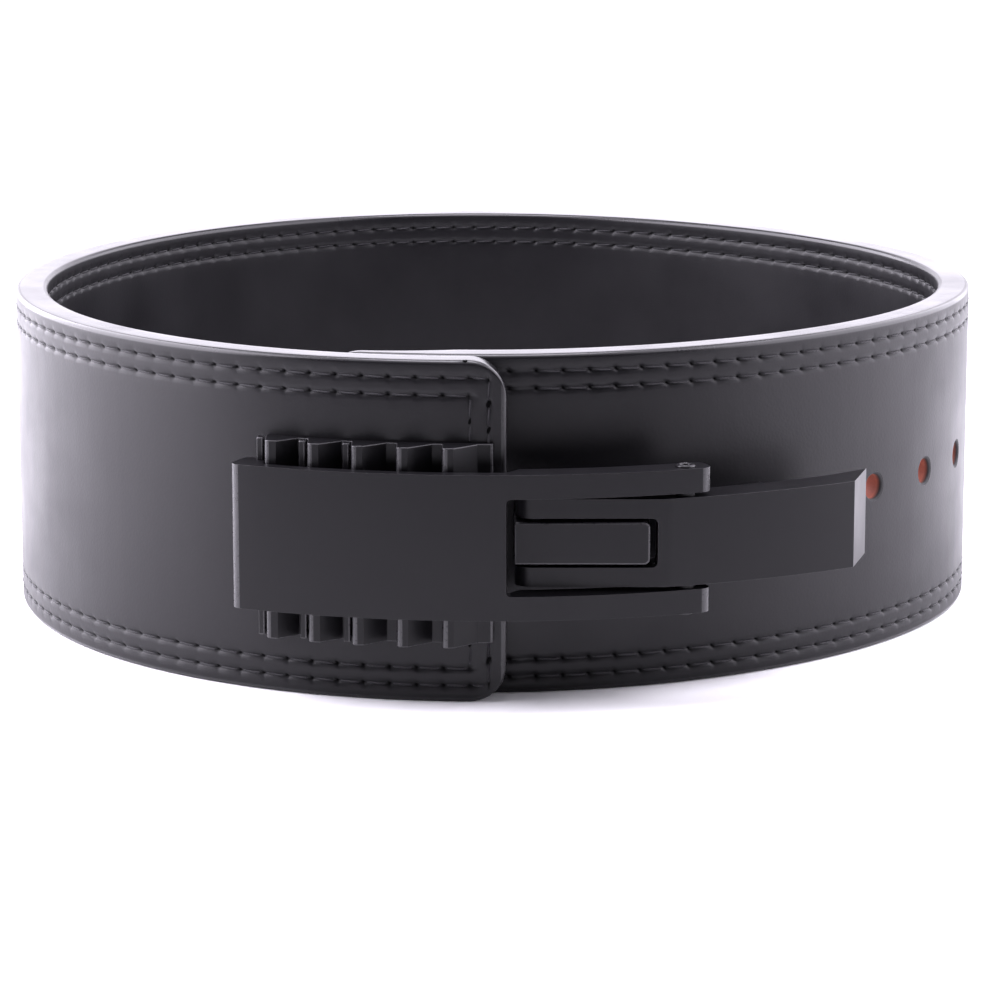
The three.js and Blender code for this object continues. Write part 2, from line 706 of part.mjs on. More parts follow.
add('strap', strap(), LEATHER);
add('rack', rack(), COATED);
rackScrews().forEach((screw, i) => add(`rack_screw_${i + 1}`, screwSolid(screw, 0), STEEL));
add('base_plate', basePlate(), COATED);
baseScrews().forEach((screw, i) => add(`base_screw_${i + 1}`, screwSolid(screw, 0), STEEL));
add('hinge_pin', hingePin(), STEEL);
add('lever', lever(), COATED);
add('fork_pin', forkPin(), COATED);
add('hook_plate', hookPlate(), COATED);

// The origin is under the middle of the whole belt.
const extent = new THREE.Box3().setFromObject(belt);
const middle = extent.getCenter(new THREE.Vector3());
belt.position.set(-middle.x, -middle.y, -extent.min.z);

export default belt;
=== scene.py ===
"""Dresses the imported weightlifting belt: leather, stitching, coated buckle and a plain studio.

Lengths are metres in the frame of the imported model. A "turn" is an angle round the belt's axis,
in radians, from the front, which looks along -Y, towards +X. A place on the strap is given flat:
by its turn or its distance from the outer end, its height, and how far it lies out of the strap's
middle. strap_points() bends such places into space.
"""

import math

import bpy
import numpy as np
from bpy.props import FloatProperty, FloatVectorProperty, IntProperty, PointerProperty
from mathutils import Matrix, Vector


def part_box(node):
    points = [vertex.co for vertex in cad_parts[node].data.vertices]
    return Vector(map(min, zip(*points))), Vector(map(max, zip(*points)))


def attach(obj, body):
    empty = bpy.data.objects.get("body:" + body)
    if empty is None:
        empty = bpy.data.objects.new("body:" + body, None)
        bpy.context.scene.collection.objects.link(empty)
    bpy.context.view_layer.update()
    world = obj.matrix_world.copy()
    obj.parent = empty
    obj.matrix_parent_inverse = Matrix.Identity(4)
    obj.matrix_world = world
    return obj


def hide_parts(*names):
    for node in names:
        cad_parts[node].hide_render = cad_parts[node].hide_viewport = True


bl_info = {
    "name": "Lever Belt",
    "version": (1, 0, 0),
    "blender": (4, 5, 0),
    "location": "View3D > Sidebar > Belt",
    "description": "Builds the looks of a leather weightlifting belt round its packed frame",
    "category": "Object",
}

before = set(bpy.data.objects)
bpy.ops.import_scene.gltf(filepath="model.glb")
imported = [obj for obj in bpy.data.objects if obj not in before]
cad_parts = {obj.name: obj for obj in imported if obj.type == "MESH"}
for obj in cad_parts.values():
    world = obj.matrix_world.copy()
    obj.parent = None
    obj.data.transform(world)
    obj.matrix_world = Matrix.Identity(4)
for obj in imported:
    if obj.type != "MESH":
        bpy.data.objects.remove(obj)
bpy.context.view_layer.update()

MM = 0.001
FULL_TURN = 2 * math.pi

# The loop that the strap follows: a spiral that grows by one layer in a full turn, with waves
# on it. Each wave has its number, and its cosine and sine as shares of the radius.
LOOP_RADIUS = 144 * MM
LAYER_STEP = 10.3 * MM
LOOP_WAVES = ((1, 0.0, 0.0075), (2, 0.0141, 0.0), (3, -0.0064, -0.0142), (4, 0.0058, 0.0))
OUTER_END_REACH = 4 * MM
INNER_END_REACH = 48 * MM
HALF_THICKNESS = 5 * MM
LINE_POINTS = 8001

# Stitch rows: the bells that shape their grooves and needle holes, the near-black ovals of painted
# shade that stand in for the holes of the upright rows, and how far from the front, from the place
# where the overlap starts and from the inner end a row's thread stops
GROOVE_WIDTH = 0.75 * MM
HOLE_WIDTH = 0.6 * MM
HOLE_LENGTH = 1 * MM
OVAL_HALF_WIDTH = 0.5 * MM
OVAL_SIDES = 12
OVERLAP_MARGIN = 12 * MM
INNER_END_MARGIN = 8 * MM

# How shiny the rounding between a face and the narrow edge is, as a share of the edge's shine
CORNER_SHINE = 0.6

# The nick in the upper rim, and the radius of each kind of screw's seat in the leather
NICK_FROM_FRONT = 7.7 * MM
NICK_RADIUS = 0.7 * MM
NICK_LENGTH = 3 * MM
SCREW_SEATS = {"rack_screw": 4.35 * MM, "base_screw": 5.85 * MM}
SEAT_DEPTH = 2.6 * MM

# Widths between which a prism's facet counts as a rounded corner, and takes the lighter edge finish:
# painted highlight, partly wear
HIGHLIT_FACET = (0.2 * MM, 0.75 * MM)
BORE_PLAY = 0.15 * MM

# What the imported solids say
STRAP_LOW, STRAP_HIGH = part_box("strap")
RACK_LOW, RACK_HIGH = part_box("rack")
PLATE_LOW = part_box("hook_plate")[0]
LEVER_LOW, LEVER_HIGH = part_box("lever")
BASE_LOW, BASE_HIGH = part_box("base_plate")
STRAP_HEIGHT = STRAP_HIGH.z
MIDDLE = STRAP_HEIGHT / 2


def pin_place(name):
    """Plan middle and radius of an upright pin, from its box."""
    low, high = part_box(name)
    return np.array([(low.x + high.x) / 2, (low.y + high.y) / 2]), (high.x - low.x) / 2


FORK_PIN, FORK_PIN_RADIUS = pin_place("fork_pin")
HINGE_PIN, HINGE_PIN_RADIUS = pin_place("hinge_pin")


def loop_radius(turn):
    """Distance of the strap's middle from the axis: the spiral and the sum of its waves."""
    radius = LOOP_RADIUS + LAYER_STEP * turn / FULL_TURN
    for wave, cosine, sine in LOOP_WAVES:
        radius = radius + LOOP_RADIUS * (cosine * np.cos(wave * turn) + sine * np.sin(wave * turn))
    return radius


def loop_slope(turn):
    """How fast loop_radius grows with the turn: its derivative."""
    slope = np.full_like(turn, LAYER_STEP / FULL_TURN)
    for wave, cosine, sine in LOOP_WAVES:
        swing = sine * np.cos(wave * turn) - cosine * np.sin(wave * turn)
        slope = slope + LOOP_RADIUS * wave * swing
    return slope


def bent(turn, outward, height):
    """Flat places to space round the axis at zero: the middle's point at the turn, plus the
    outward distance along the normal, which is the loop's tangent turned by a right angle."""
    turn, outward, height = np.broadcast_arrays(*map(np.asarray, (turn, outward, height)))
    turn = turn.astype(float)
    radius, slope = loop_radius(turn), loop_slope(turn)
    along_x = slope * np.sin(turn) + radius * np.cos(turn)
    along_y = radius * np.sin(turn) - slope * np.cos(turn)
    tangent = np.hypot(along_x, along_y)
    x = radius * np.sin(turn) + outward * along_y / tangent
    y = -radius * np.cos(turn) - outward * along_x / tangent
    return np.stack([x, y, height], axis=-1)


FIRST_TURN = -INNER_END_REACH / loop_radius(0.0)
LAST_TURN = FULL_TURN + OUTER_END_REACH / loop_radius(FULL_TURN)
TURNS = np.linspace(FIRST_TURN, LAST_TURN, LINE_POINTS)
MIDDLE_LINE = bent(TURNS, 0.0, 0.0)
STEPS = np.linalg.norm(np.diff(MIDDLE_LINE, axis=0), axis=1)
ARC = np.concatenate([[0.0], np.cumsum(STEPS)])
STRAP_LENGTH = ARC[-1]


def loop_axis():
    """Where the axis stands: the bent strap's outline is laid on the middle of the solid's box."""
    outline = bent(TURNS, HALF_THICKNESS, 0.0)
    middle = (outline.min(axis=0) + outline.max(axis=0)) / 2
    solid = np.array((STRAP_LOW + STRAP_HIGH) / 2)
    return np.array([solid[0] - middle[0], solid[1] - middle[1], 0.0])


AXIS = loop_axis()
OUTER_FACE = loop_radius(FULL_TURN) + HALF_THICKNESS
INNER_LAYER_FACE = loop_radius(0.0) + HALF_THICKNESS
PLATE_FRONT = AXIS[1] - PLATE_LOW.y
FORK_PIN_TURN = math.atan2(FORK_PIN[0] - AXIS[0], AXIS[1] - FORK_PIN[1])


def strap_points(turn, outward, height):
    """Flat places on the strap to points of the frame."""
    return bent(turn, outward, height) + AXIS


def turn_at(from_end):
    """Turn of a place so far from the strap's outer end, along its middle."""
    return np.interp(STRAP_LENGTH - np.asarray(from_end), ARC, TURNS)


def polar(turn, radius):
    """Plan points of the frame at turns and distances from the axis."""
    turn, radius = np.broadcast_arrays(*map(np.asarray, (turn, radius)))
    points = np.stack([radius * np.sin(turn), -radius * np.cos(turn)], axis=-1)
    return points + AXIS[:2]


def full_circle(sides):
    """Angles of a full turn in even steps."""
    return np.linspace(0, FULL_TURN, sides, endpoint=False)


def number(name, description, value):
    """A plain number property."""
    return FloatProperty(name=name, description=description, default=value)


def length(name, description, millimetres):
    """A length property, given in millimetres."""
    return FloatProperty(name=name, description=description, default=millimetres * MM, unit="LENGTH")


def colour(name, description, value):
    """A colour property."""
    return FloatVectorProperty(name=name, description=description, default=value, subtype="COLOR")


def power(name, description, watts):
    """A light's power."""
    return FloatProperty(name=name, description=description, default=watts, unit="POWER")


class StrapSizes(bpy.types.PropertyGroup):
    """Sizes of the leather strap and its punched holes."""

    edge_round: length("Edge Round", "Rounding of the long edges", 1.5)
    corner: length("Corner", "Radius of the strap's corners", 10.5)
    skive: length("Skive", "Length over which the inner end thins", 38)
    thin_end: length("Thin End", "Thickness of the inner end", 1.6)
    hole_radius: length("Hole Radius", "Radius of a punched hole", 3.8)
    hole_lip: length("Hole Lip", "Width of a hole's rounded lip", 0.8)
    hole_pitch: length("Hole Pitch", "Distance between holes", 30)
    first_hole: length("First Hole", "First open hole's distance from the front", 133)


class StitchSizes(bpy.types.PropertyGroup):
    """Sizes of the two rows of stitching round the strap."""

    pitch: length("Pitch", "Length of a stitch along the strap's middle", 7.6)
    outer_row: length("Outer Row", "Outer row's distance from the edge", 5)
    inner_row: length("Inner Row", "Inner row's distance from the edge", 10.1)
    shown: number("Shown", "Share of the pitch in which thread shows", 0.84)
    lean: number("Lean", "Slope of a needle hole across its row", 0.3)
    thread: length("Thread", "Radius of the thread", 0.36)
    groove: length("Groove", "Depth of the groove that a row lies in", 0.22)
    dent: length("Dent", "Depth of the dent at a needle hole", 0.8)


class BuckleSizes(bpy.types.PropertyGroup):
    """Sizes of the buckle that the solids' boxes don't give."""

    edge: length("Edge", "Rounding of the buckle's edges", 0.6)
    plate_height: length("Plate Height", "Height of the hook plate", 42.2)
    plate_thickness: length("Plate Thickness", "Thickness of the hook plate", 4)
    fork_depth: length("Fork Depth", "Depth of the hook plate's two arms", 9)
    slot_gap: length("Slot Gap", "Room above and below the lever", 1.3)
    lever_wall: length("Lever Wall", "Wall of the lever", 3.2)
    lever_depth: length("Lever Depth", "Depth of the lever", 11.2)
    boss_height: length("Boss Height", "Height of the hinge boss", 12.4)
    boss_gap: length("Boss Gap", "Room round the hinge boss in the lever", 0.95)
    tooth_pitch: length("Tooth Pitch", "Distance between the rack's teeth", 12.4)
    tooth_depth: length("Tooth Depth", "How far a tooth stands out", 9.3)
    teeth: IntProperty(name="Teeth", description="Number of the rack's teeth", default=5, min=1)
    catches: IntProperty(name="Catches", description="Number of catch bars", default=3, min=1)


class Finishes(bpy.types.PropertyGroup):
    """Colours of the belt's finishes."""

    leather: colour("Leather", "Dyed face of the leather", (0.004, 0.0037, 0.0046))
    leather_worn: colour("Worn Leather", "Leather where it is handled", (0.007, 0.0066, 0.0079))
    raw: colour("Raw Leather", "Undyed leather in the holes", (0.36, 0.1, 0.06))
    thread: colour("Thread", "Sewing thread", (0.008, 0.0075, 0.0092))
    coating: colour("Coating", "Satin coating of the buckle", (0.004, 0.0038, 0.0045))
    # painted highlight, partly wear: the lighter colour of every rounded edge of the buckle
    rubbed_and_highlit: colour("Rubbed", "Coating where it is rubbed thin", (0.03, 0.029, 0.032))
    steel: colour("Steel", "Blackened steel of the screws", (0.05, 0.05, 0.055))


class StudioSettings(bpy.types.PropertyGroup):
    """The camera and the studio's light."""

    distance: length("Distance", "Camera's distance in front of the axis", 1250)
    height: length("Height", "Camera's height over the floor", 289.9)
    pitch: FloatProperty(
        name="Pitch", description="How far the camera looks down", default=0.2032, subtype="ANGLE"
    )
    lens: number("Lens", "Focal length in millimetres", 140.33)
    shift_x: number("Shift X", "Sideways shift of the picture", 0.008)
    shift_y: number("Shift Y", "Upward shift of the picture", -0.02)
    left_light: power("Left Light", "Power of the left soft box", 30.0)
    right_light: power("Right Light", "Power of the right soft box", 17.0)
    back_light: power("Back Light", "Power of the soft box behind the belt", 52.0)
    wide_light: power("Wide Light", "Power of the wide overhead soft box", 50.0)
    top_light: power("Top Light", "Power of the small overhead soft box", 24.0)
    tint: colour("Tint", "Colour of the lights", (0.93, 0.89, 1.0))
    surround: number("Surround", "Brightness of the dim surround", 0.08)


def settings():
    """The scene's property groups."""
    return bpy.context.scene


def made_object(name, points, faces):
    """A smooth-shaded mesh object from an array of points and a list of faces."""
    mesh = bpy.data.meshes.new(name)
    mesh.from_pydata(points.reshape(-1, 3), [], faces)
    mesh.validate()
    mesh.shade_smooth()
    obj = bpy.data.objects.new(name, mesh)
    bpy.context.scene.collection.objects.link(obj)
    return obj


def point_values(obj, name, values):
    """Gives a piece an attribute with a value for each point."""
    made = obj.data.attributes.new(name, "FLOAT", "POINT")
    made.data.foreach_set("value", values.astype(np.float32).ravel())


def grid_faces(rows, columns):
    """Quads between rings of points, ring after ring."""
    row, column = np.meshgrid(np.arange(rows - 1), np.arange(columns), indexing="ij")
    here, ahead = row * columns, (column + 1) % columns
    quads = [here + column, here + ahead, here + columns + ahead, here + columns + column]
    return np.stack(quads, axis=-1).reshape(-1, 4)


def closed_faces(rows, columns):
    """Faces of a closed body: quads between its rings, and a cap on the first and last one."""
    first, last = list(range(columns))[::-1], list(range((rows - 1) * columns, rows * columns))
    return grid_faces(rows, columns).tolist() + [first, last]


def rectangle(left, right, low, high):
    """The four corners of a rectangle, anticlockwise from its lower left."""
    return [(left, low), (right, low), (right, high), (left, high)]


def smooth_step(x):
    """Zero below 0, one above 1, and an even S between."""
    x = np.clip(x, 0.0, 1.0)
    return x * x * (3 - 2 * x)


def fillet(corners, radii, steps=6):
    """A closed plan outline with its corners rounded: each corner that has a radius becomes an
    arc between the two points where a circle of that radius touches its sides."""
    corners = np.asarray(corners, float)
    points = []
    for i, (corner, radius) in enumerate(zip(corners, radii)):
        before = corners[i - 1] - corner
        after = corners[(i + 1) % len(corners)] - corner
        if radius == 0:
            points.append(corner[None])
            continue
        before_length, after_length = np.linalg.norm(before), np.linalg.norm(after)
        before, after = before / before_length, after / after_length
        half = math.acos(float(np.clip(before @ after, -1, 1))) / 2
        touch = min(radius / math.tan(half), 0.49 * before_length, 0.49 * after_length)
        between = (before + after) / np.linalg.norm(before + after)
        centre = corner + between * (touch / math.cos(half))
        start, end = corner + before * touch - centre, corner + after * touch - centre
        sweep = math.acos(float(np.clip(start @ end / (start @ start), -1, 1)))
        share = np.linspace(0, 1, steps + 1)[:, None]
        weights = np.sin((1 - share) * sweep), np.sin(share * sweep)
        points.append(centre + (weights[0] * start + weights[1] * end) / math.sin(sweep))
    return np.concatenate(points)


def prism(name, outline, low, high, upright=True):
    """A closed body with a flat outline. Upright, the outline is in plan and low and high are
    heights. Else it is a front view, and low and high are places along Y. The narrow facets of
    rounded corners take the lighter edge finish: painted highlight, partly wear."""
    outline = np.asarray(outline, float)
    following = np.roll(outline, -1, axis=0)
    area = (outline[:, 0] * following[:, 1] - following[:, 0] * outline[:, 1]).sum()
    if (area > 0) != upright:
        outline = outline[::-1]
    ends = [np.insert(outline, 2 if upright else 1, place, axis=1) for place in (low, high)]
    obj = coated(made_object(name, np.concatenate(ends), closed_faces(2, len(outline))))
    width = np.linalg.norm(np.roll(outline, -1, axis=0) - outline, axis=1)
    rounded = (width > HIGHLIT_FACET[0]) & (width < HIGHLIT_FACET[1])
    highlit_worn = np.concatenate([rounded, [False, False]]).astype(np.int32)
    obj.data.polygons.foreach_set("material_index", highlit_worn)
    return obj


def coated(obj):
    """Gives a metal piece its two finishes: the coating, and a lighter edge coating that is painted
    highlight, partly wear.
    """
    obj.data.materials.append(shared("satin_coating", coating_material))
    obj.data.materials.append(shared("worn_coating", worn_and_highlit_coating_material))
    return obj


def finished(obj):
    """Applies an object's modifiers to its mesh."""
    graph = bpy.context.evaluated_depsgraph_get()
    mesh = bpy.data.meshes.new_from_object(obj.evaluated_get(graph))
    obj.modifiers.clear()
    obj.data = mesh


def cut(obj, *cutters):
    """Takes the cutters' bodies out of an object, and removes them."""
    for cutter in cutters:
        modifier = obj.modifiers.new("Cut", "BOOLEAN")
        modifier.operation = "DIFFERENCE"
        modifier.solver = "EXACT"
        modifier.object = cutter
    finished(obj)
    for cutter in cutters:
        bpy.data.objects.remove(cutter)


def soften(obj, width, segments=3):
    """Rounds a metal piece's sharp edges, which take the lighter edge finish of painted highlight
    and wear, and weights the normals so that flat faces stay flat."""
    bevel = obj.modifiers.new("Round", "BEVEL")
    bevel.material = 1
    # bevel faces take the lighter edge finish: painted highlight and wear
    bevel.width = width
    bevel.segments = segments
    bevel.limit_method = "ANGLE"
    bevel.angle_limit = math.radians(38)
    bevel.miter_outer = "MITER_ARC"
    weighted = obj.modifiers.new("Normals", "WEIGHTED_NORMAL")
    weighted.keep_sharp = True
    finished(obj)
    obj.data.shade_smooth()


def dress_leather(obj, material):
    """Gives a piece of the strap its finish and its body."""
    obj.data.materials.clear()
    obj.data.materials.append(material)
    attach(obj, "belt")


def dress_metal(obj, body, softening):
    """Rounds a coated piece's edges, and gives it the body it rides on."""
    soften(obj, softening)
    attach(obj, body)


class Look:
    """A material in the making, with short ways to add nodes and to join them."""

    def __init__(self, name):
        self.material = bpy.data.materials.new(name)
        self.material.use_nodes = True
        self.tree = self.material.node_tree
        coordinates = self.tree.nodes.new("ShaderNodeTexCoord")
        self.place, self.map = coordinates.outputs["Object"], coordinates.outputs["UV"]

    def put(self, value, socket):
        """Puts a constant, or another node's output, on an input."""
        if isinstance(value, bpy.types.NodeSocket):
            self.tree.links.new(value, socket)
        else:
            socket.default_value = (*value, 1.0) if socket.type == "RGBA" else value

    def node(self, kind, inputs, **options):
        """A node with its options set, and constants or outputs put on its inputs."""
        made = self.tree.nodes.new("ShaderNode" + kind)
        for name, value in options.items():
            setattr(made, name, value)
        for name, value in inputs.items():
            self.put(value, made.inputs[name])
        return made

    def noise(self, scale, detail=2.0, roughness=0.5):
        """A noise over the piece's own coordinates."""
        inputs = {"Vector": self.place, "Scale": scale, "Detail": detail, "Roughness": roughness}
        return self.node("TexNoise", inputs).outputs["Fac"]

    def ranged(self, source, low, high, from_low=0.0, from_high=1.0):
        """A value spread over another range."""
        inputs = {"Value": source, "From Min": from_low, "From Max": from_high}
        return self.node("MapRange", {**inputs, "To Min": low, "To Max": high}).outputs["Result"]

    def mixed(self, factor, first, second):
        """Two colours mixed by a factor."""
        made = self.node("Mix", {}, data_type="RGBA")
        self.put(factor, made.inputs["Factor"])
        sockets = [socket for socket in made.inputs if socket.type == "RGBA"]
        for socket, value in zip(sockets, (first, second)):
            self.put(value, socket)
        return next(socket for socket in made.outputs if socket.type == "RGBA")

    def math(self, operation, first, second):
        """Two values added or multiplied."""
        return self.node("Math", {0: first, 1: second}, operation=operation).outputs["Value"]

    def attribute(self, name):
        """A piece's own attribute as a value."""
        return self.node("Attribute", {}, attribute_name=name).outputs["Fac"]

    def bump(self, height, distance, strength, **below):
        """A bump normal from a height, on top of another normal where one is given."""
        inputs = {"Height": height, "Distance": distance, "Strength": strength, **below}
        return self.node("Bump", inputs).outputs["Normal"]

    def shaded(self, **inputs):
        """The material, with constants or outputs put on its shader's inputs."""
        shader = self.tree.nodes["Principled BSDF"]
        for name, value in inputs.items():
            self.put(value, shader.inputs[SHADER_INPUTS[name]])
        return self.material


SHADER_INPUTS = {
    "colour": "Base Color",
    "roughness": "Roughness",
    "shine": "Specular IOR Level",
    "metallic": "Metallic",
    "normal": "Normal",
}


def leather_material():
    """Black satin leather: pores and soft creases, shinier edges, and painted shade in needle holes.
    """
    colours = settings().belt_finishes
    look = Look("black_leather")
    mottle = look.noise(38, detail=4)
    dyed = look.mixed(mottle, colours.leather, colours.leather_worn)
    hole, edge = look.attribute("needle_hole"), look.attribute("edge")
    satin = look.ranged(mottle, 0.36, 0.46, 0.3, 0.7)
    open_face = look.ranged(hole, 1.0, 0.05, 0.35, 0.9)
    inputs = {"Vector": look.place, "Scale": 1250}
    pores = look.node("TexVoronoi", inputs, feature="SMOOTH_F1").outputs["Distance"]
    creased = look.bump(look.noise(90, detail=3), 0.12 * MM, 0.25)
    return look.shaded(
        # painted shade: near black, with its shine cut, where the attribute marks needle holes, screw
        # seats and the rim nick
        colour=look.mixed(hole, dyed, (0.002, 0.002, 0.002)),
        roughness=look.math("ADD", satin, look.ranged(edge, 0.0, -0.2)),
        shine=look.math("MULTIPLY", look.ranged(edge, 0.21, 0.55), open_face),
        normal=look.bump(pores, 0.05 * MM, 0.4, Normal=creased),
    )


def raw_leather_material():
    """The wall of a punched hole: fibrous undyed leather below a dyed lip."""
    colours = settings().belt_finishes
    look = Look("raw_leather")
    fibres = look.noise(700, detail=5, roughness=0.7)
    raw = look.mixed(fibres, [0.55 * c for c in colours.raw], colours.raw)
    return look.shaded(
        colour=look.mixed(look.attribute("raw"), colours.leather, raw),
        roughness=0.7,
        normal=look.bump(fibres, 0.2 * MM, 0.6),
    )


def thread_material():
    """Twisted black thread: slanted ridges along its own map."""
    thread = settings().belt_finishes.thread
    look = Look("black_thread")
    inputs = {"Vector": look.map, "Scale": 2.2}
    twist = look.node("TexWave", inputs, bands_direction="DIAGONAL").outputs["Fac"]
    return look.shaded(
        colour=look.mixed(twist, thread, [1.8 * c for c in thread]),
        roughness=0.42,
        shine=0.3,
        normal=look.bump(twist, 0.12 * MM, 0.6),
    )


def coating_material():
    """Satin black powder coating: fine orange peel and slightly uneven gloss."""
    coating = settings().belt_finishes.coating
    look = Look("satin_coating")
    cloud = look.noise(60, detail=3)
    return look.shaded(
        colour=look.mixed(cloud, coating, [1.5 * c for c in coating]),
        roughness=look.ranged(cloud, 0.32, 0.4, 0.3, 0.7),
        shine=0.17,
        normal=look.bump(look.noise(1500), 0.02 * MM, 0.25),
    )


def worn_and_highlit_coating_material():
    """Rounded edges: a lighter, shinier coating, painted highlight and partly wear, with scuffs."""
    colours = settings().belt_finishes
    look = Look("worn_coating")
    scuffs = look.noise(900, detail=4, roughness=0.6)
    return look.shaded(
        # painted highlight and wear: edges take a colour several times lighter than the coating
        colour=look.mixed(scuffs, colours.coating, colours.rubbed_and_highlit),
        roughness=look.ranged(scuffs, 0.24, 0.38, 0.3, 0.7),
        shine=0.42,
    )


def steel_material():
    """Blackened steel with a fine grain."""
    steel = settings().belt_finishes.steel
    look = Look("blackened_steel")
    grain = look.noise(2500, detail=3)
    return look.shaded(
        colour=look.mixed(grain, steel, [1.4 * c for c in steel]),
        roughness=look.ranged(grain, 0.28, 0.42, 0.3, 0.7),
        metallic=1.0,
    )


def floor_material():
    """Pale matt floor with a faint unevenness."""
    look = Look("pale_floor")
    cloud = look.mixed(look.noise(3), (0.86, 0.86, 0.87), (0.9, 0.9, 0.9))
    return look.shaded(colour=cloud, roughness=0.9)


def shared(name, maker):
    """A material by its name, made at its first use."""
    return bpy.data.materials.get(name) or maker()


def drawn_back(distance, radius):
    """How far a rounded corner of a radius lies back, at a distance from the end."""
    rest = np.clip(radius - distance, 0.0, radius)
    return radius - np.sqrt(radius * radius - rest * rest)


def strap_columns():
    """Distances from the outer end at which the strap has a ring: a few close ones round every
    needle hole, one between holes, and close ones on the two rounded ends, spaced as equal
    angles of their corner arcs."""
    strap, stitch = settings().belt_strap, settings().belt_stitch
    near = np.array([-1.1, -0.5, 0.0, 0.5, 1.1, 3.8]) * MM
    holes = stitch.inner_row + stitch.pitch * np.arange(-1, STRAP_LENGTH / stitch.pitch)
    even = (holes[:, None] + near).ravel()
    angle = np.linspace(0, math.pi / 2, 12)
    ends = np.concatenate([strap.corner * (1 - np.cos(angle)), strap.edge_round * (1 - np.cos(angle))])
    first = np.concatenate([ends, stitch.outer_row + near[:5]])
    even = even[(even > strap.corner) & (even < STRAP_LENGTH - strap.corner)]
    columns = np.unique(np.concatenate([first, even, STRAP_LENGTH - ends]).round(7))
    return columns[np.concatenate([[True], np.diff(columns) > 0.04 * MM])]


def section_ring():
    """The strap's section as shares: how far out (-1 to 1 of the flat half thickness), how high
    (-1 to 1 of the flat half height), the direction of its edge rounding there, and how much of
    the edge's shine it has. The faces have close points at the rows of stitches."""
    stitch, strap = settings().belt_stitch, settings().belt_strap
    near = np.array([-1.9, -1.0, -0.5, 0.0, 0.5, 1.0, 1.9]) * MM
    outer, inner = stitch.outer_row - strap.edge_round, stitch.inner_row - strap.edge_round
    depth = np.concatenate([[0.0, 1.0 * MM], outer + near[1:], inner + near])
    depth = np.concatenate([depth, np.array([13, 19, 28, 38]) * MM])
    heights = 1 - np.unique(depth.round(7)) / (MIDDLE - strap.edge_round)
    face = np.concatenate([heights, [0.0], -heights[::-1]])
    corner = np.linspace(0, math.pi / 2, 7)[1:-1]
    along, across = np.cos(corner), np.sin(corner)
    edge = np.linspace(1, -1, 5)
    stretches = [
        (1.0, face[::-1], 1.0, 0.0, 0.0),
        (1.0, 1.0, along, across, CORNER_SHINE),
        (edge, 1.0, 0.0, 1.0, 1.0),
        (-1.0, 1.0, -along[::-1], across[::-1], CORNER_SHINE),
        (-1.0, face, -1.0, 0.0, 0.0),
        (-1.0, -1.0, -along, -across, CORNER_SHINE),
        (-edge, -1.0, 0.0, -1.0, 1.0),
        (1.0, -1.0, along[::-1], -across[::-1], CORNER_SHINE),
    ]
    return np.concatenate([np.stack(np.broadcast_arrays(*row)) for row in stretches], axis=1)


def from_nearest(distance, pitch):
    """How far a place lies from the nearest multiple of a pitch."""
    return (distance + pitch / 2) % pitch - pitch / 2


def needle_holes(from_end, height):
    """How deep a place lies in a stitch row's groove and in a needle hole, each from 0 to 1: a
    bell across the nearest row, and an oval bell round its nearest hole, which leans as the
    stitches do."""
    stitch = settings().belt_stitch
    groove = np.zeros(np.broadcast(from_end, height).shape)
    hole = np.zeros_like(groove)
    to_edge = np.minimum(height, STRAP_HEIGHT - height)
    to_end = np.minimum(from_end, STRAP_LENGTH - from_end)
    for row in (stitch.outer_row, stitch.inner_row):
        above = np.where(height < MIDDLE, height - row, height - (STRAP_HEIGHT - row))
        above = np.where(to_end >= row, above, 1.0)
        beside = np.where(to_edge >= row, from_end - row, 1.0)
        along_edge = from_nearest(from_end - stitch.inner_row, stitch.pitch)
        along_end = from_nearest(height - row, upright_pitch(row))
        for off, along, lean in ((above, along_edge, stitch.lean), (beside, along_end, -stitch.lean)):
            groove = np.maximum(groove, bell(off / GROOVE_WIDTH))
            oval = bell((off - lean * along) / HOLE_WIDTH) * bell(along / HOLE_LENGTH)
            hole = np.maximum(hole, oval)
    return groove, hole


def bell(x):
    """A bell curve: one at zero, falling with the square of the distance."""
    return np.exp(-x * x)


def upright_pitch(row):
    """Pitch of a row where it runs up the end: its height shared evenly."""
    height = STRAP_HEIGHT - 2 * row
    return height / round(height / settings().belt_stitch.pitch)


def thickness_at(from_end):
    """The strap's thickness: even, and falling evenly over the skive to the thin inner end."""
    strap = settings().belt_strap
    share = np.clip((STRAP_LENGTH - from_end) / strap.skive, 0, 1)
    return strap.thin_end + (2 * HALF_THICKNESS - strap.thin_end) * share


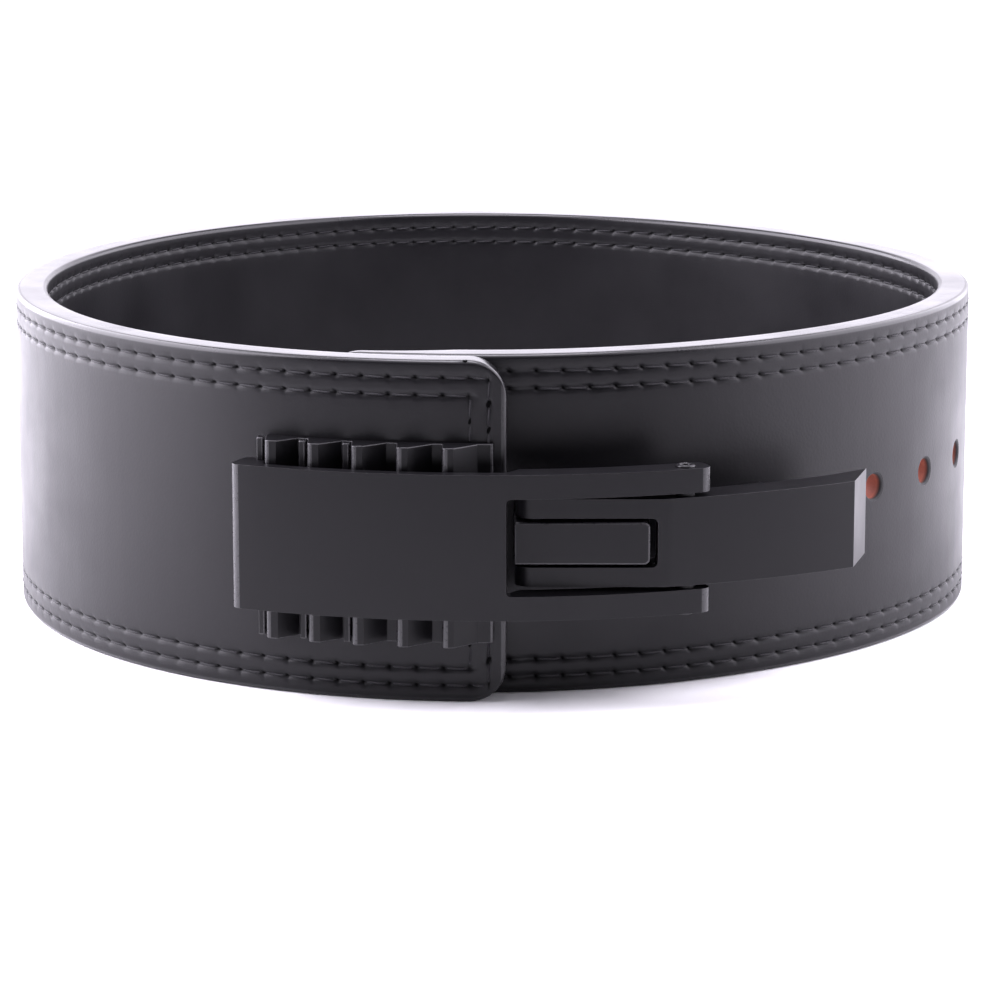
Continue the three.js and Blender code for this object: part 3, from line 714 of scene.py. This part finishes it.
def strap_mesh():
    """The strap: the section ring carried along the bent loop. Its thickness falls over the skive,
    its height and thickness draw back round the ends, and grooves and dents sink its faces."""
    strap, stitch = settings().belt_strap, settings().belt_stitch
    from_end = strap_columns()[:, None]
    out, up, out_round, up_round, edge = section_ring()
    thickness = thickness_at(from_end)
    to_end = np.minimum(from_end, STRAP_LENGTH - from_end)
    round_here = np.minimum(strap.edge_round, 0.3 * thickness)
    pinch = drawn_back(to_end, strap.edge_round) * round_here / strap.edge_round
    half_height = MIDDLE - drawn_back(to_end, strap.corner)
    half = thickness / 2 - pinch
    round_here = np.minimum(round_here, 0.45 * half)
    centre = HALF_THICKNESS - thickness / 2
    outward = centre + out * (half - round_here) + out_round * round_here
    height = MIDDLE + up * (half_height - round_here) + up_round * round_here
    groove, hole = needle_holes(from_end, height)
    on_face = (np.abs(out_round) == 1) & (half > 2 * MM)
    sunk = np.where(on_face, groove * stitch.groove + hole * stitch.dent, 0.0)
    points = strap_points(turn_at(from_end), outward - out_round * sunk, height)
    obj = made_object("strap_leather", points, closed_faces(*height.shape))
    # The hole bell is also the mask of painted shade: near black in the leather's colour
    point_values(obj, "needle_hole", np.where(on_face, hole, 0.0))
    rim = np.maximum(edge, CORNER_SHINE * (to_end < strap.edge_round))
    point_values(obj, "edge", rim + 0 * height)
    return obj


def hole_turns():
    """Turns of the open holes, from the one under the lever on."""
    strap = settings().belt_strap
    places = strap.first_hole + strap.hole_pitch * np.arange(-1, 3)
    return places / INNER_LAYER_FACE


def drill(turn, distance, height, radius, depth, sides=64):
    """A round cutter on a line out from the axis: its middle lies at a distance from the axis."""
    around = full_circle(sides)
    outward = np.array([math.sin(turn), -math.cos(turn), 0.0])
    across = np.array([math.cos(turn), math.sin(turn), 0.0])
    centre = outward * distance + AXIS + np.array([0.0, 0.0, height])
    circle = across * np.cos(around)[:, None] + np.array([0, 0, 1.0]) * np.sin(around)[:, None]
    ends = [centre + circle * radius + outward * side * depth / 2 for side in (-1, 1)]
    obj = made_object("drill", np.concatenate(ends), closed_faces(2, sides))
    # Faces this cutter leaves in the leather take the near-black painted shade
    point_values(obj, "needle_hole", np.ones(2 * sides))
    point_values(obj, "edge", np.zeros(2 * sides))
    return obj


def seat_drill(node, radius):
    """Cutter for a countersunk screw's seat, sunk into the inner face of the screw's layer."""
    low, high = (np.array(corner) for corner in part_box(node))
    place = (low + high) / 2 - AXIS
    turn = math.atan2(place[0], -place[1])
    layer = turn if node.startswith("base") else turn + FULL_TURN
    inner_face = loop_radius(layer) - HALF_THICKNESS
    distance = inner_face - HALF_THICKNESS + SEAT_DEPTH
    return drill(turn, distance, place[2], radius, 2 * HALF_THICKNESS)


def hole_lining(name, turn):
    """A hole's wall: a profile turned round the hole's middle. It starts on the strap's face,
    rolls over a quarter-round lip, runs straight through and rolls out on the other face."""
    strap = settings().belt_strap
    roll = np.linspace(0, math.pi / 2, 6)
    reach = strap.hole_radius + strap.hole_lip * (1 - np.sin(roll))
    depth = HALF_THICKNESS - 0.03 * MM - strap.hole_lip * (1 - np.cos(roll))
    wall = np.linspace(1, -1, 9)[1:-1] * (HALF_THICKNESS - strap.hole_lip)
    radius = np.concatenate([reach, np.full(len(wall), strap.hole_radius), reach[::-1]])
    outward = np.concatenate([depth, wall, -depth[::-1]])
    around = full_circle(48)
    middle = loop_radius(turn)
    turns = turn + radius[:, None] * np.cos(around) / middle
    height = MIDDLE + radius[:, None] * np.sin(around)
    points = strap_points(turns, outward[:, None], height)
    obj = made_object(name, points, grid_faces(*height.shape).tolist())
    raw = smooth_step((np.abs(outward[:1] - outward) - 0.6 * MM) / (0.8 * MM))
    raw = np.minimum(raw, raw[::-1])[:, None] + 0 * turns
    point_values(obj, "raw", raw)
    return obj


def end_row_holes():
    """Flat near-black ovals of painted shade that stand in for the needle holes of the rows that
    climb the strap's outer end: a leaning oval of points round each hole's middle, halfway down
    the row's groove."""
    stitch = settings().belt_stitch
    around = full_circle(OVAL_SIDES)
    rows = []
    for row in (stitch.outer_row, stitch.inner_row):
        heights = np.arange(row, STRAP_HEIGHT - row, upright_pitch(row))[1:]
        rows.append(np.stack([np.full_like(heights, row), heights], axis=1))
    middles = np.concatenate(rows)[:, None]
    lean = stitch.lean * HOLE_LENGTH * np.sin(around)
    from_end = middles[..., 0] + OVAL_HALF_WIDTH * np.cos(around) - lean
    height = middles[..., 1] + HOLE_LENGTH * np.sin(around)
    points = strap_points(turn_at(from_end), HALF_THICKNESS - stitch.groove / 2, height)
    corners = np.arange(height.size).reshape(-1, OVAL_SIDES)[:, ::-1]
    obj = made_object("end_row_holes", points, corners.tolist())
    # painted shade: every point of the ovals takes the near-black hole colour
    point_values(obj, "needle_hole", np.ones(height.size))
    point_values(obj, "edge", np.zeros(height.size))
    return obj


def rim_nick():
    """Cutter for the small nick in the upper rim, close to the strap's outer end."""
    turn = FULL_TURN - NICK_FROM_FRONT / OUTER_FACE
    return drill(turn, OUTER_FACE, STRAP_HEIGHT, NICK_RADIUS, NICK_LENGTH, sides=8)


class BELT_OT_strap(bpy.types.Operator):
    """Build the leather strap with its grooves, needle holes, punched holes and screw seats"""

    bl_idname = "belt.strap"
    bl_label = "Leather Strap"

    def execute(self, context):
        strap = settings().belt_strap
        obj = strap_mesh()
        cutters = []
        for turn in hole_turns():
            middle = loop_radius(turn)
            reach = strap.hole_radius + strap.hole_lip
            cutters.append(drill(turn, middle, MIDDLE, reach, 4 * HALF_THICKNESS))
        for node in sorted(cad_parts):
            for kind, radius in SCREW_SEATS.items():
                if kind in node:
                    cutters.append(seat_drill(node, radius))
        cut(obj, *cutters, rim_nick())
        obj.data.shade_smooth()
        obj.data.set_sharp_from_angle(angle=math.radians(50))
        leather = shared("black_leather", leather_material)
        dress_leather(obj, leather)
        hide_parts("strap")
        dress_leather(end_row_holes(), leather)
        for index, turn in enumerate(hole_turns()):
            lining = hole_lining(f"hole_lining_{index + 1}", turn)
            dress_leather(lining, shared("raw_leather", raw_leather_material))
        return {"FINISHED"}


def sewn(name, starts, ends, side):
    """Stitches on one face of the strap. Each is a tube of six sides between two flat places,
    which rises out of one needle hole and dives into the next: its lift is a root of a half sine,
    its radius closes at both ends, and it leans a little across its row."""
    stitch = settings().belt_stitch
    share = np.linspace(0, 1, 9)
    lift = (-1.6 + 1.7 * np.sin(math.pi * share) ** 0.5) * stitch.thread
    radius = stitch.thread * np.minimum(1, np.sin(math.pi * share) ** 0.5 * 1.6)
    lean = (share - 0.5) * stitch.lean * MM
    hidden = (1 - stitch.shown) / 2
    starts, ends = starts + (ends - starts) * hidden, ends + (starts - ends) * hidden
    around = full_circle(6)
    span = ends - starts
    across = np.stack([-span[:, 1], span[:, 0]], axis=1) / np.linalg.norm(span, axis=1)[:, None]
    flat = starts[:, None, :] + span[:, None, :] * share[:, None] + across[:, None, :] * lean[:, None]
    wide = radius[:, None] * np.cos(around)
    flat = flat[:, :, None, :] + across[:, None, None, :] * wide[..., None]
    outward = HALF_THICKNESS - stitch.groove + lift[:, None] + radius[:, None] * np.sin(around)
    outward = side * np.broadcast_to(outward, flat.shape[:-1])
    if side < 0:
        outward = outward + 2 * HALF_THICKNESS - thickness_at(flat[..., 0])
    points = strap_points(turn_at(flat[..., 0]), outward, flat[..., 1])
    count, rings, sides = points.shape[:3]
    ring = grid_faces(rings, sides)
    if side < 0:
        ring = ring[:, ::-1]
    faces = (ring[None] + (np.arange(count) * rings * sides)[:, None, None]).reshape(-1, 4)
    obj = made_object(name, points, faces.tolist())
    corners = np.zeros(len(obj.data.loops), np.int32)
    obj.data.loops.foreach_get("vertex_index", corners)
    along = (corners // sides) % rings / (rings - 1)
    places = np.stack([along * 8, corners % sides / sides], axis=1).astype(np.float32)
    obj.data.uv_layers.new(name="UVMap").data.foreach_set("uv", places.ravel())
    return obj


def stitch_places(side):
    """Starts and ends of the stitches that show on a face, as distances from the outer end and
    heights: both long edges for each row, and the row's climb up the strap's end."""
    stitch = settings().belt_stitch
    front = STRAP_LENGTH - np.interp(0.0, TURNS, ARC)
    overlap = STRAP_LENGTH - np.interp(FULL_TURN + FIRST_TURN, TURNS, ARC)
    if side > 0:
        first, last = 0.0, front - OVERLAP_MARGIN
    else:
        first, last = overlap + OVERLAP_MARGIN, STRAP_LENGTH - INNER_END_MARGIN
    holes = stitch.inner_row + stitch.pitch * np.arange(STRAP_LENGTH / stitch.pitch)
    holes = holes[(holes >= first) & (holes <= last)]
    lines = []
    for row in (stitch.outer_row, stitch.inner_row):
        places = np.concatenate([[row], holes]) if side > 0 and row < holes[0] else holes
        for height in (row, STRAP_HEIGHT - row):
            lines.append(np.stack([places, np.full_like(places, height)], axis=1))
        if side > 0:
            heights = np.arange(row, STRAP_HEIGHT - row + 1e-6, upright_pitch(row))
            lines.append(np.stack([np.full_like(heights, row), heights], axis=1))
    starts, ends = ([line[piece] for line in lines] for piece in (slice(None, -1), slice(1, None)))
    return np.concatenate(starts), np.concatenate(ends)


class BELT_OT_stitching(bpy.types.Operator):
    """Sew both rows of thread on the outer and inner face"""

    bl_idname = "belt.stitching"
    bl_label = "Stitching"

    def execute(self, context):
        for name, side in (("stitches_outside", 1), ("stitches_inside", -1)):
            obj = sewn(name, *stitch_places(side), side)
            dress_leather(obj, shared("black_thread", thread_material))
        return {"FINISHED"}


RACK_LEFT_OF_FRONT = 1 * MM
RACK_TAIL = 1.4 * MM
RACK_FLOOR = 2.3 * MM
SEAT_GAP = 0.3 * MM
NOSE_WIDTH = 3.2 * MM
NOSE_SLOPE = 0.7 * MM
CATCH_WIDTH = 2.2 * MM
CATCH_DEPTH = 3 * MM
CATCH_SIDE_GAP = 0.4 * MM
CATCH_FLOOR_GAP = 0.7 * MM
CATCH_ROUND = 0.6 * MM
CATCH_WEB_PAST_TOOTH = 2 * MM
CATCH_WEB_INSET = 1 * MM
CATCH_SOFTENING = 0.4 * MM
RACK_SOFTENING = 0.45 * MM


def tooth_turn(tooth):
    """Turn of a tooth's steep side, counted from the rack's left end."""
    buckle = settings().belt_buckle
    reach = buckle.teeth * buckle.tooth_pitch + RACK_LEFT_OF_FRONT
    return (tooth * buckle.tooth_pitch - reach) / OUTER_FACE


def tooth_side(tooth):
    """Place along X of a tooth's steep side, which runs straight out from the belt."""
    return (OUTER_FACE + settings().belt_buckle.tooth_depth) * math.sin(tooth_turn(tooth)) + AXIS[0]


def on_outer_face(x, off):
    """Plan point at a place along X, so far out of the strap's outer layer: read off a fine
    line of such points."""
    turns = FULL_TURN + np.linspace(-0.6, 0.1, 1400)
    line = strap_points(turns, HALF_THICKNESS + off, 0.0)
    return np.array([x, np.interp(x, line[:, 0], line[:, 1])])


def rack_outline():
    """Plan outline of the rack: each tooth has a steep left side, a sloping nose and a ramp down
    to the floor of the next pocket, and the back follows the strap."""
    buckle = settings().belt_buckle
    pocket = CATCH_WIDTH + 2 * CATCH_SIDE_GAP
    corners, radii = [], []
    for tooth in range(buckle.teeth):
        side = tooth_side(tooth)
        corners.append(on_outer_face(side, SEAT_GAP if tooth == 0 else RACK_FLOOR))
        corners.append(on_outer_face(side, buckle.tooth_depth))
        corners.append(on_outer_face(side + NOSE_WIDTH, buckle.tooth_depth - NOSE_SLOPE))
        corners.append(on_outer_face(tooth_side(tooth + 1) - pocket, RACK_FLOOR))
        radii += [0.4 * MM, 1.5 * MM, 0.3 * MM, 0.6 * MM]
    right = tooth_side(buckle.teeth) + RACK_TAIL
    corners += [on_outer_face(right, RACK_FLOOR), on_outer_face(right, SEAT_GAP)]
    radii += [0.8 * MM, 0.3 * MM]
    for x in np.linspace(right, tooth_side(0), 26)[1:-1]:
        corners.append(on_outer_face(x, SEAT_GAP))
        radii.append(0.0)
    return fillet(corners, radii, steps=4)


def catch_outline(tooth, from_off, to_off):
    """Plan outline of a catch bar beside a tooth, with rounded corners."""
    right = tooth_side(tooth) - CATCH_SIDE_GAP
    left = right - CATCH_WIDTH
    corners = [on_outer_face(x, off) for x, off in rectangle(left, right, from_off, to_off)]
    return fillet(corners, [CATCH_ROUND] * 4, steps=4)


class BELT_OT_rack(bpy.types.Operator):
    """Build the toothed rack on the strap's outer end"""

    bl_idname = "belt.rack"
    bl_label = "Toothed Rack"

    def execute(self, context):
        obj = prism("rack_teeth", rack_outline(), RACK_LOW.z, RACK_HIGH.z)
        dress_metal(obj, "belt", RACK_SOFTENING)
        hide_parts("rack")
        return {"FINISHED"}


PLATE_HEEL = 9.7 * MM
PLATE_END_ROUND = 3.4 * MM
PLATE_SLOT_ROUND = 1.2 * MM
PLATE_END_CLEARANCE = 2.6 * MM
FORK_STEP = 4 * MM
FORK_SLOT_CLEARANCE = 2.5 * MM
FORK_END_WALL = 4.4 * MM
ARC_STEP = 0.014


def arc(from_turn, to_turn, radius):
    """Plan points on an arc round the axis."""
    count = max(2, math.ceil(abs(to_turn - from_turn) / ARC_STEP) + 1)
    return polar(np.linspace(from_turn, to_turn, count), radius)


def plate_level():
    """Height of the lever's and the hook plate's middle."""
    return (LEVER_LOW.z + LEVER_HIGH.z) / 2


def slot_left():
    """Left side of the hook plate's slot, clear of the lever's arms."""
    return LEVER_LOW.x - FORK_SLOT_CLEARANCE


def plate_outline():
    """Plan outline of the hook plate: the front is an arc round the axis, the left end reaches
    back towards the strap, and the fork's arms are thicker than the plate."""
    buckle = settings().belt_buckle
    back = PLATE_FRONT - buckle.plate_thickness
    fork_back = PLATE_FRONT - buckle.fork_depth
    heel_back = OUTER_FACE + PLATE_END_CLEARANCE
    left = tooth_turn(0) - PLATE_HEEL / PLATE_FRONT
    right = FORK_PIN_TURN + (FORK_PIN_RADIUS + FORK_END_WALL) / PLATE_FRONT
    catch = tooth_side(0) - CATCH_SIDE_GAP - AXIS[0]
    slot = slot_left() - AXIS[0]
    margin = 2 * PLATE_END_ROUND / PLATE_FRONT
    stretches = [
        (polar(left, PLATE_FRONT)[None], PLATE_END_ROUND),
        (arc(left + margin, right - margin, PLATE_FRONT), 0.0),
        (polar(right, PLATE_FRONT)[None], PLATE_END_ROUND),
        (polar(right, fork_back)[None], PLATE_END_ROUND),
        (arc(right - margin, (slot + FORK_STEP) / back, fork_back), 0.0),
        (arc(slot / back, math.asin(catch / back), back), 0.0),
        (polar(math.asin(catch / heel_back), heel_back)[None], 0.8 * MM),
        (polar(left, heel_back)[None], 2 * MM),
    ]
    radii = [radius for points, radius in stretches for _ in points]
    return fillet(np.concatenate([points for points, _ in stretches]), radii, steps=8)


def front_cutter(name, left, right, low, high, corner):
    """A cutter through the buckle from the front, with rounded corners."""
    outline = fillet(rectangle(left, right, low, high), [corner] * 4, steps=5)
    return prism(name, outline, AXIS[1] - 2 * PLATE_FRONT, AXIS[1], upright=False)


def pin_cutter(centre, radius):
    """An upright round cutter for a pin's bore."""
    around = full_circle(48)
    circle = centre + (radius + BORE_PLAY) * np.stack([np.cos(around), np.sin(around)], axis=1)
    return prism("bore", circle, 0.0, STRAP_HEIGHT)


class BELT_OT_hook_plate(bpy.types.Operator):
    """Build the hook plate with its fork, heel and catch bars"""

    bl_idname = "belt.hook_plate"
    bl_label = "Hook Plate"

    def execute(self, context):
        buckle = settings().belt_buckle
        level = plate_level()
        low, high = level - buckle.plate_height / 2, level + buckle.plate_height / 2
        obj = prism("hook_plate_body", plate_outline(), low, high)
        room = (LEVER_HIGH.z - LEVER_LOW.z) / 2 + buckle.slot_gap
        right = AXIS[0] + PLATE_FRONT
        slot = front_cutter("slot", slot_left(), right, level - room, level + room, PLATE_SLOT_ROUND)
        cut(obj, slot, pin_cutter(FORK_PIN, FORK_PIN_RADIUS))
        dress_metal(obj, "hook_plate", buckle.edge)
        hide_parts("hook_plate")
        start = RACK_FLOOR + CATCH_FLOOR_GAP
        web_end = buckle.tooth_depth + CATCH_WEB_PAST_TOOTH
        stretches = {
            "web": (web_end, low + CATCH_WEB_INSET, high - CATCH_WEB_INSET),
            "bar": (start + CATCH_DEPTH, RACK_LOW.z, RACK_HIGH.z),
        }
        for catch in range(buckle.catches):
            for kind, (end, bottom, top) in stretches.items():
                outline = catch_outline(catch, start, end)
                piece = prism(f"catch_{kind}_{catch + 1}", outline, bottom, top)
                dress_metal(piece, "hook_plate", CATCH_SOFTENING)
        return {"FINISHED"}


LEVER_FLARE = 2 * MM
LEVER_REACH = 111.5 * MM
LEVER_BEVEL_REACH = 15.9 * MM
LEVER_EYE_RADIUS = 5 * MM
LEVER_SLOT_CLEARANCE = 2.2 * MM
LEVER_SLOT_ROUND = 1.6 * MM
BOSS_LENGTH = 38.8 * MM

# Turns at which the lever's flared front starts and ends
FLARE_START = math.acos((AXIS[1] - HINGE_PIN[1] + LEVER_EYE_RADIUS) / PLATE_FRONT)
FLARE_END = LEVER_REACH / PLATE_FRONT


def lever_front(turn):
    """Distance of the lever's front from the axis: the plate's front, and a flare that grows
    with the square of the share of its length."""
    share = np.clip((turn - FLARE_START) / (FLARE_END - FLARE_START), 0, 1)
    return PLATE_FRONT + LEVER_FLARE * share * share


def lever_outline():
    """Plan outline of the lever: round eyes on the hinge pin, a flat front on the arms, then the
    flared front, the bevelled finger end, and a back that follows the front at an even depth."""
    buckle = settings().belt_buckle
    angle = np.linspace(math.pi / 2, 3 * math.pi / 2, 17)
    eye = HINGE_PIN + LEVER_EYE_RADIUS * np.stack([np.cos(angle), np.sin(angle)], axis=1)
    turns = np.linspace(FLARE_START, FLARE_END, 30)
    front = polar(turns, lever_front(turns))
    bevel_turn = FLARE_END + LEVER_BEVEL_REACH / PLATE_FRONT
    turns = np.linspace(bevel_turn, FLARE_START + buckle.fork_depth / PLATE_FRONT, 30)
    back = polar(turns, lever_front(turns) - buckle.lever_depth)
    return np.concatenate([eye, front, back])


class BELT_OT_lever(bpy.types.Operator):
    """Build the lever with its slot, hollow back and bevelled finger end"""

    bl_idname = "belt.lever"
    bl_label = "Lever"

    def execute(self, context):
        buckle = settings().belt_buckle
        level = plate_level()
        obj = prism("lever_body", lever_outline(), LEVER_LOW.z, LEVER_HIGH.z)
        room = buckle.boss_height / 2 + buckle.boss_gap
        end = BASE_LOW.x + BOSS_LENGTH + LEVER_SLOT_CLEARANCE
        left = AXIS[0] - LEVER_REACH
        slot = front_cutter("slot", left, end, level - room, level + room, LEVER_SLOT_ROUND)
        wall = buckle.lever_wall
        start = FORK_PIN_TURN + (2 * FORK_PIN_RADIUS + wall) / PLATE_FRONT
        turns = np.linspace(start, (LEVER_REACH - wall) / PLATE_FRONT, 20)
        near = polar(turns, lever_front(turns) - wall)
        far = polar(turns[::-1], lever_front(turns[::-1]) - 2 * buckle.lever_depth)
        hollow = prism("hollow", np.concatenate([near, far]), LEVER_LOW.z + wall, LEVER_HIGH.z - wall)
        fork_bore = pin_cutter(FORK_PIN, FORK_PIN_RADIUS)
        cut(obj, slot, hollow, fork_bore, pin_cutter(HINGE_PIN, HINGE_PIN_RADIUS))
        dress_metal(obj, "lever", buckle.edge)
        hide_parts("lever")
        return {"FINISHED"}


BASE_THICKNESS = 4 * MM
BASE_REACH = 84 * MM
BOSS_CORNER = 1.8 * MM
BOSS_LEFT_CORNER = 0.8 * MM


def base_foot():
    """The base plate's foot: a strip that follows the strap's inner layer."""
    turns = np.linspace((BASE_LOW.x - AXIS[0]) / INNER_LAYER_FACE, BASE_REACH / INNER_LAYER_FACE, 40)
    seat = strap_points(turns, HALF_THICKNESS + SEAT_GAP, 0.0)[:, :2]
    top = strap_points(turns[::-1], HALF_THICKNESS + SEAT_GAP + BASE_THICKNESS, 0.0)[:, :2]
    return prism("base_foot", np.concatenate([seat, top]), BASE_LOW.z, BASE_HIGH.z)


def hinge_boss():
    """The hinge boss: a rounded rectangle in front view, from the foot out to its flat front."""
    buckle = settings().belt_buckle
    right, half = BASE_LOW.x + BOSS_LENGTH, buckle.boss_height / 2
    corners = rectangle(BASE_LOW.x, right, plate_level() - half, plate_level() + half)
    rounds = [BOSS_LEFT_CORNER, BOSS_CORNER, BOSS_CORNER, BOSS_LEFT_CORNER]
    outline = fillet(corners, rounds, steps=6)
    inside_foot = HALF_THICKNESS + SEAT_GAP + BASE_THICKNESS / 4
    behind = float(strap_points((right - AXIS[0]) / INNER_LAYER_FACE, inside_foot, 0.0)[1])
    return prism("hinge_boss", outline, BASE_LOW.y, behind, upright=False)


class BELT_OT_base(bpy.types.Operator):
    """Build the base plate's foot and its hinge boss"""

    bl_idname = "belt.base"
    bl_label = "Base Plate"

    def execute(self, context):
        foot, boss = base_foot(), hinge_boss()
        cut(boss, pin_cutter(HINGE_PIN, HINGE_PIN_RADIUS))
        for piece in (foot, boss):
            dress_metal(piece, "belt", settings().belt_buckle.edge)
        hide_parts("base_plate")
        return {"FINISHED"}


def turned(name, radius, height, centre):
    """A body turned round an upright axis: a profile of radii and heights, closed on the axis."""
    around = full_circle(64)
    radius, height = radius[:, None], height[:, None]
    x = centre[0] + radius * np.cos(around)
    y = centre[1] + radius * np.sin(around)
    points = np.stack([x, y, height + 0 * x], axis=-1)
    return coated(made_object(name, points, closed_faces(*x.shape)))


# The ring at each end of the fork pin: its recess, and the rounding and softening of its edges
RECESS_RADIUS = 1.5 * MM
RECESS_DEPTH = 1.8 * MM
RING_EDGE = 0.35 * MM
PIN_SOFTENING = 0.15 * MM


class BELT_OT_pins(bpy.types.Operator):
    """Build the fork pin with its ringed ends, and finish the hidden pin and the screws"""

    bl_idname = "belt.pins"
    bl_label = "Pins and Screws"

    def execute(self, context):
        recess, edge = RECESS_RADIUS, RING_EDGE
        low, high = (corner.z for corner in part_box("fork_pin"))
        outer = FORK_PIN_RADIUS
        radii = np.array([recess - edge, recess, recess, recess + edge, outer - edge, outer])
        rise = np.array([RECESS_DEPTH, RECESS_DEPTH - edge, edge, 0.0, 0.0, edge])
        radii = np.concatenate([radii, radii[::-1]])
        heights = np.concatenate([low + rise, high - rise[::-1]])
        pin = turned("fork_pin_ringed", radii, heights, FORK_PIN)
        dress_metal(pin, "lever", PIN_SOFTENING)
        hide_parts("fork_pin")
        steel = shared("blackened_steel", steel_material)
        for name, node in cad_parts.items():
            if "screw" in name or name == "hinge_pin":
                node.data.materials.clear()
                node.data.materials.append(steel)
        return {"FINISHED"}


# The soft boxes: place and target from the axis, and width and height
SOFT_BOXES = {
    "left": ((-0.55, 0.25, 0.42), (0, 0.25, 0.3), (1.3, 0.8)),
    "right": ((0.55, 0.25, 0.42), (0, 0.25, 0.3), (1.3, 0.8)),
    "back": ((0, 2.9, 0.85), (0, 0, 0.6), (4.0, 1.6)),
    "wide": ((0, 0, 2.0), (0, 0, 0), (3.0, 3.0)),
    "top": ((0, 0.1, 1.6), (0, 0, 0), (0.8, 0.8)),
}
FLOOR_REACH = 12.0
SENSOR_WIDTH = 36.0


def soft_box(name, place, target, size, watts):
    """A rectangular light, turned from its place towards its target, both from the axis."""
    data = bpy.data.lights.new(name, "AREA")
    data.shape = "RECTANGLE"
    data.size, data.size_y = size
    data.energy = watts
    data.color = settings().belt_studio.tint
    light = bpy.data.objects.new(name, data)
    light.location = AXIS + place
    direction = Vector(np.array(target) - np.array(place))
    light.rotation_euler = direction.to_track_quat("-Z", "Y").to_euler()
    bpy.context.scene.collection.objects.link(light)


class BELT_OT_studio(bpy.types.Operator):
    """Set the floor, the lights and the camera"""

    bl_idname = "belt.studio"
    bl_label = "Studio"

    def execute(self, context):
        scene = bpy.context.scene
        studio = scene.belt_studio
        corners = rectangle(-FLOOR_REACH, FLOOR_REACH, -FLOOR_REACH, FLOOR_REACH)
        floor = made_object("floor", np.insert(corners, 2, 0.0, axis=1), [(0, 1, 2, 3)])
        floor.data.materials.append(floor_material())
        scene.world = bpy.data.worlds.new("dim_surround")
        scene.world.use_nodes = True
        background = scene.world.node_tree.nodes["Background"]
        background.inputs["Color"].default_value = (1, 1, 1, 1)
        background.inputs["Strength"].default_value = studio.surround
        for name, (place, target, size) in SOFT_BOXES.items():
            soft_box(f"{name}_box", place, target, size, getattr(studio, f"{name}_light"))
        data = bpy.data.cameras.new("camera")
        data.lens = studio.lens
        data.sensor_width = SENSOR_WIDTH
        data.shift_x, data.shift_y = studio.shift_x, studio.shift_y
        camera = bpy.data.objects.new("camera", data)
        camera.location = (AXIS[0], AXIS[1] - studio.distance, studio.height)
        camera.rotation_euler = (math.pi / 2 - studio.pitch, 0, 0)
        scene.collection.objects.link(camera)
        scene.camera = camera
        scene.view_settings.view_transform = "Standard"
        return {"FINISHED"}


class BELT_PT_panel(bpy.types.Panel):
    """Lists the belt's pieces"""

    bl_label = "Lever Belt"
    bl_idname = "BELT_PT_panel"
    bl_space_type = "VIEW_3D"
    bl_region_type = "UI"
    bl_category = "Belt"

    def draw(self, context):
        for operator in OPERATORS:
            self.layout.operator(operator.bl_idname)


OPERATORS = (
    BELT_OT_strap,
    BELT_OT_stitching,
    BELT_OT_rack,
    BELT_OT_hook_plate,
    BELT_OT_lever,
    BELT_OT_base,
    BELT_OT_pins,
    BELT_OT_studio,
)
GROUPS = {
    "belt_strap": StrapSizes,
    "belt_stitch": StitchSizes,
    "belt_buckle": BuckleSizes,
    "belt_finishes": Finishes,
    "belt_studio": StudioSettings,
}


def register():
    """Registers the classes and hangs the property groups on the scene."""
    for made in (*GROUPS.values(), *OPERATORS, BELT_PT_panel):
        bpy.utils.register_class(made)
    for name, group in GROUPS.items():
        setattr(bpy.types.Scene, name, PointerProperty(type=group))


def unregister():
    """Takes the property groups and the classes away again."""
    for name in GROUPS:
        delattr(bpy.types.Scene, name)
    for made in reversed((*GROUPS.values(), *OPERATORS, BELT_PT_panel)):
        bpy.utils.unregister_class(made)


def main():
    """Builds every piece."""
    register()
    for operator in OPERATORS:
        group, name = operator.bl_idname.split(".")
        getattr(getattr(bpy.ops, group), name)()


if __name__ == "__main__":
    main()
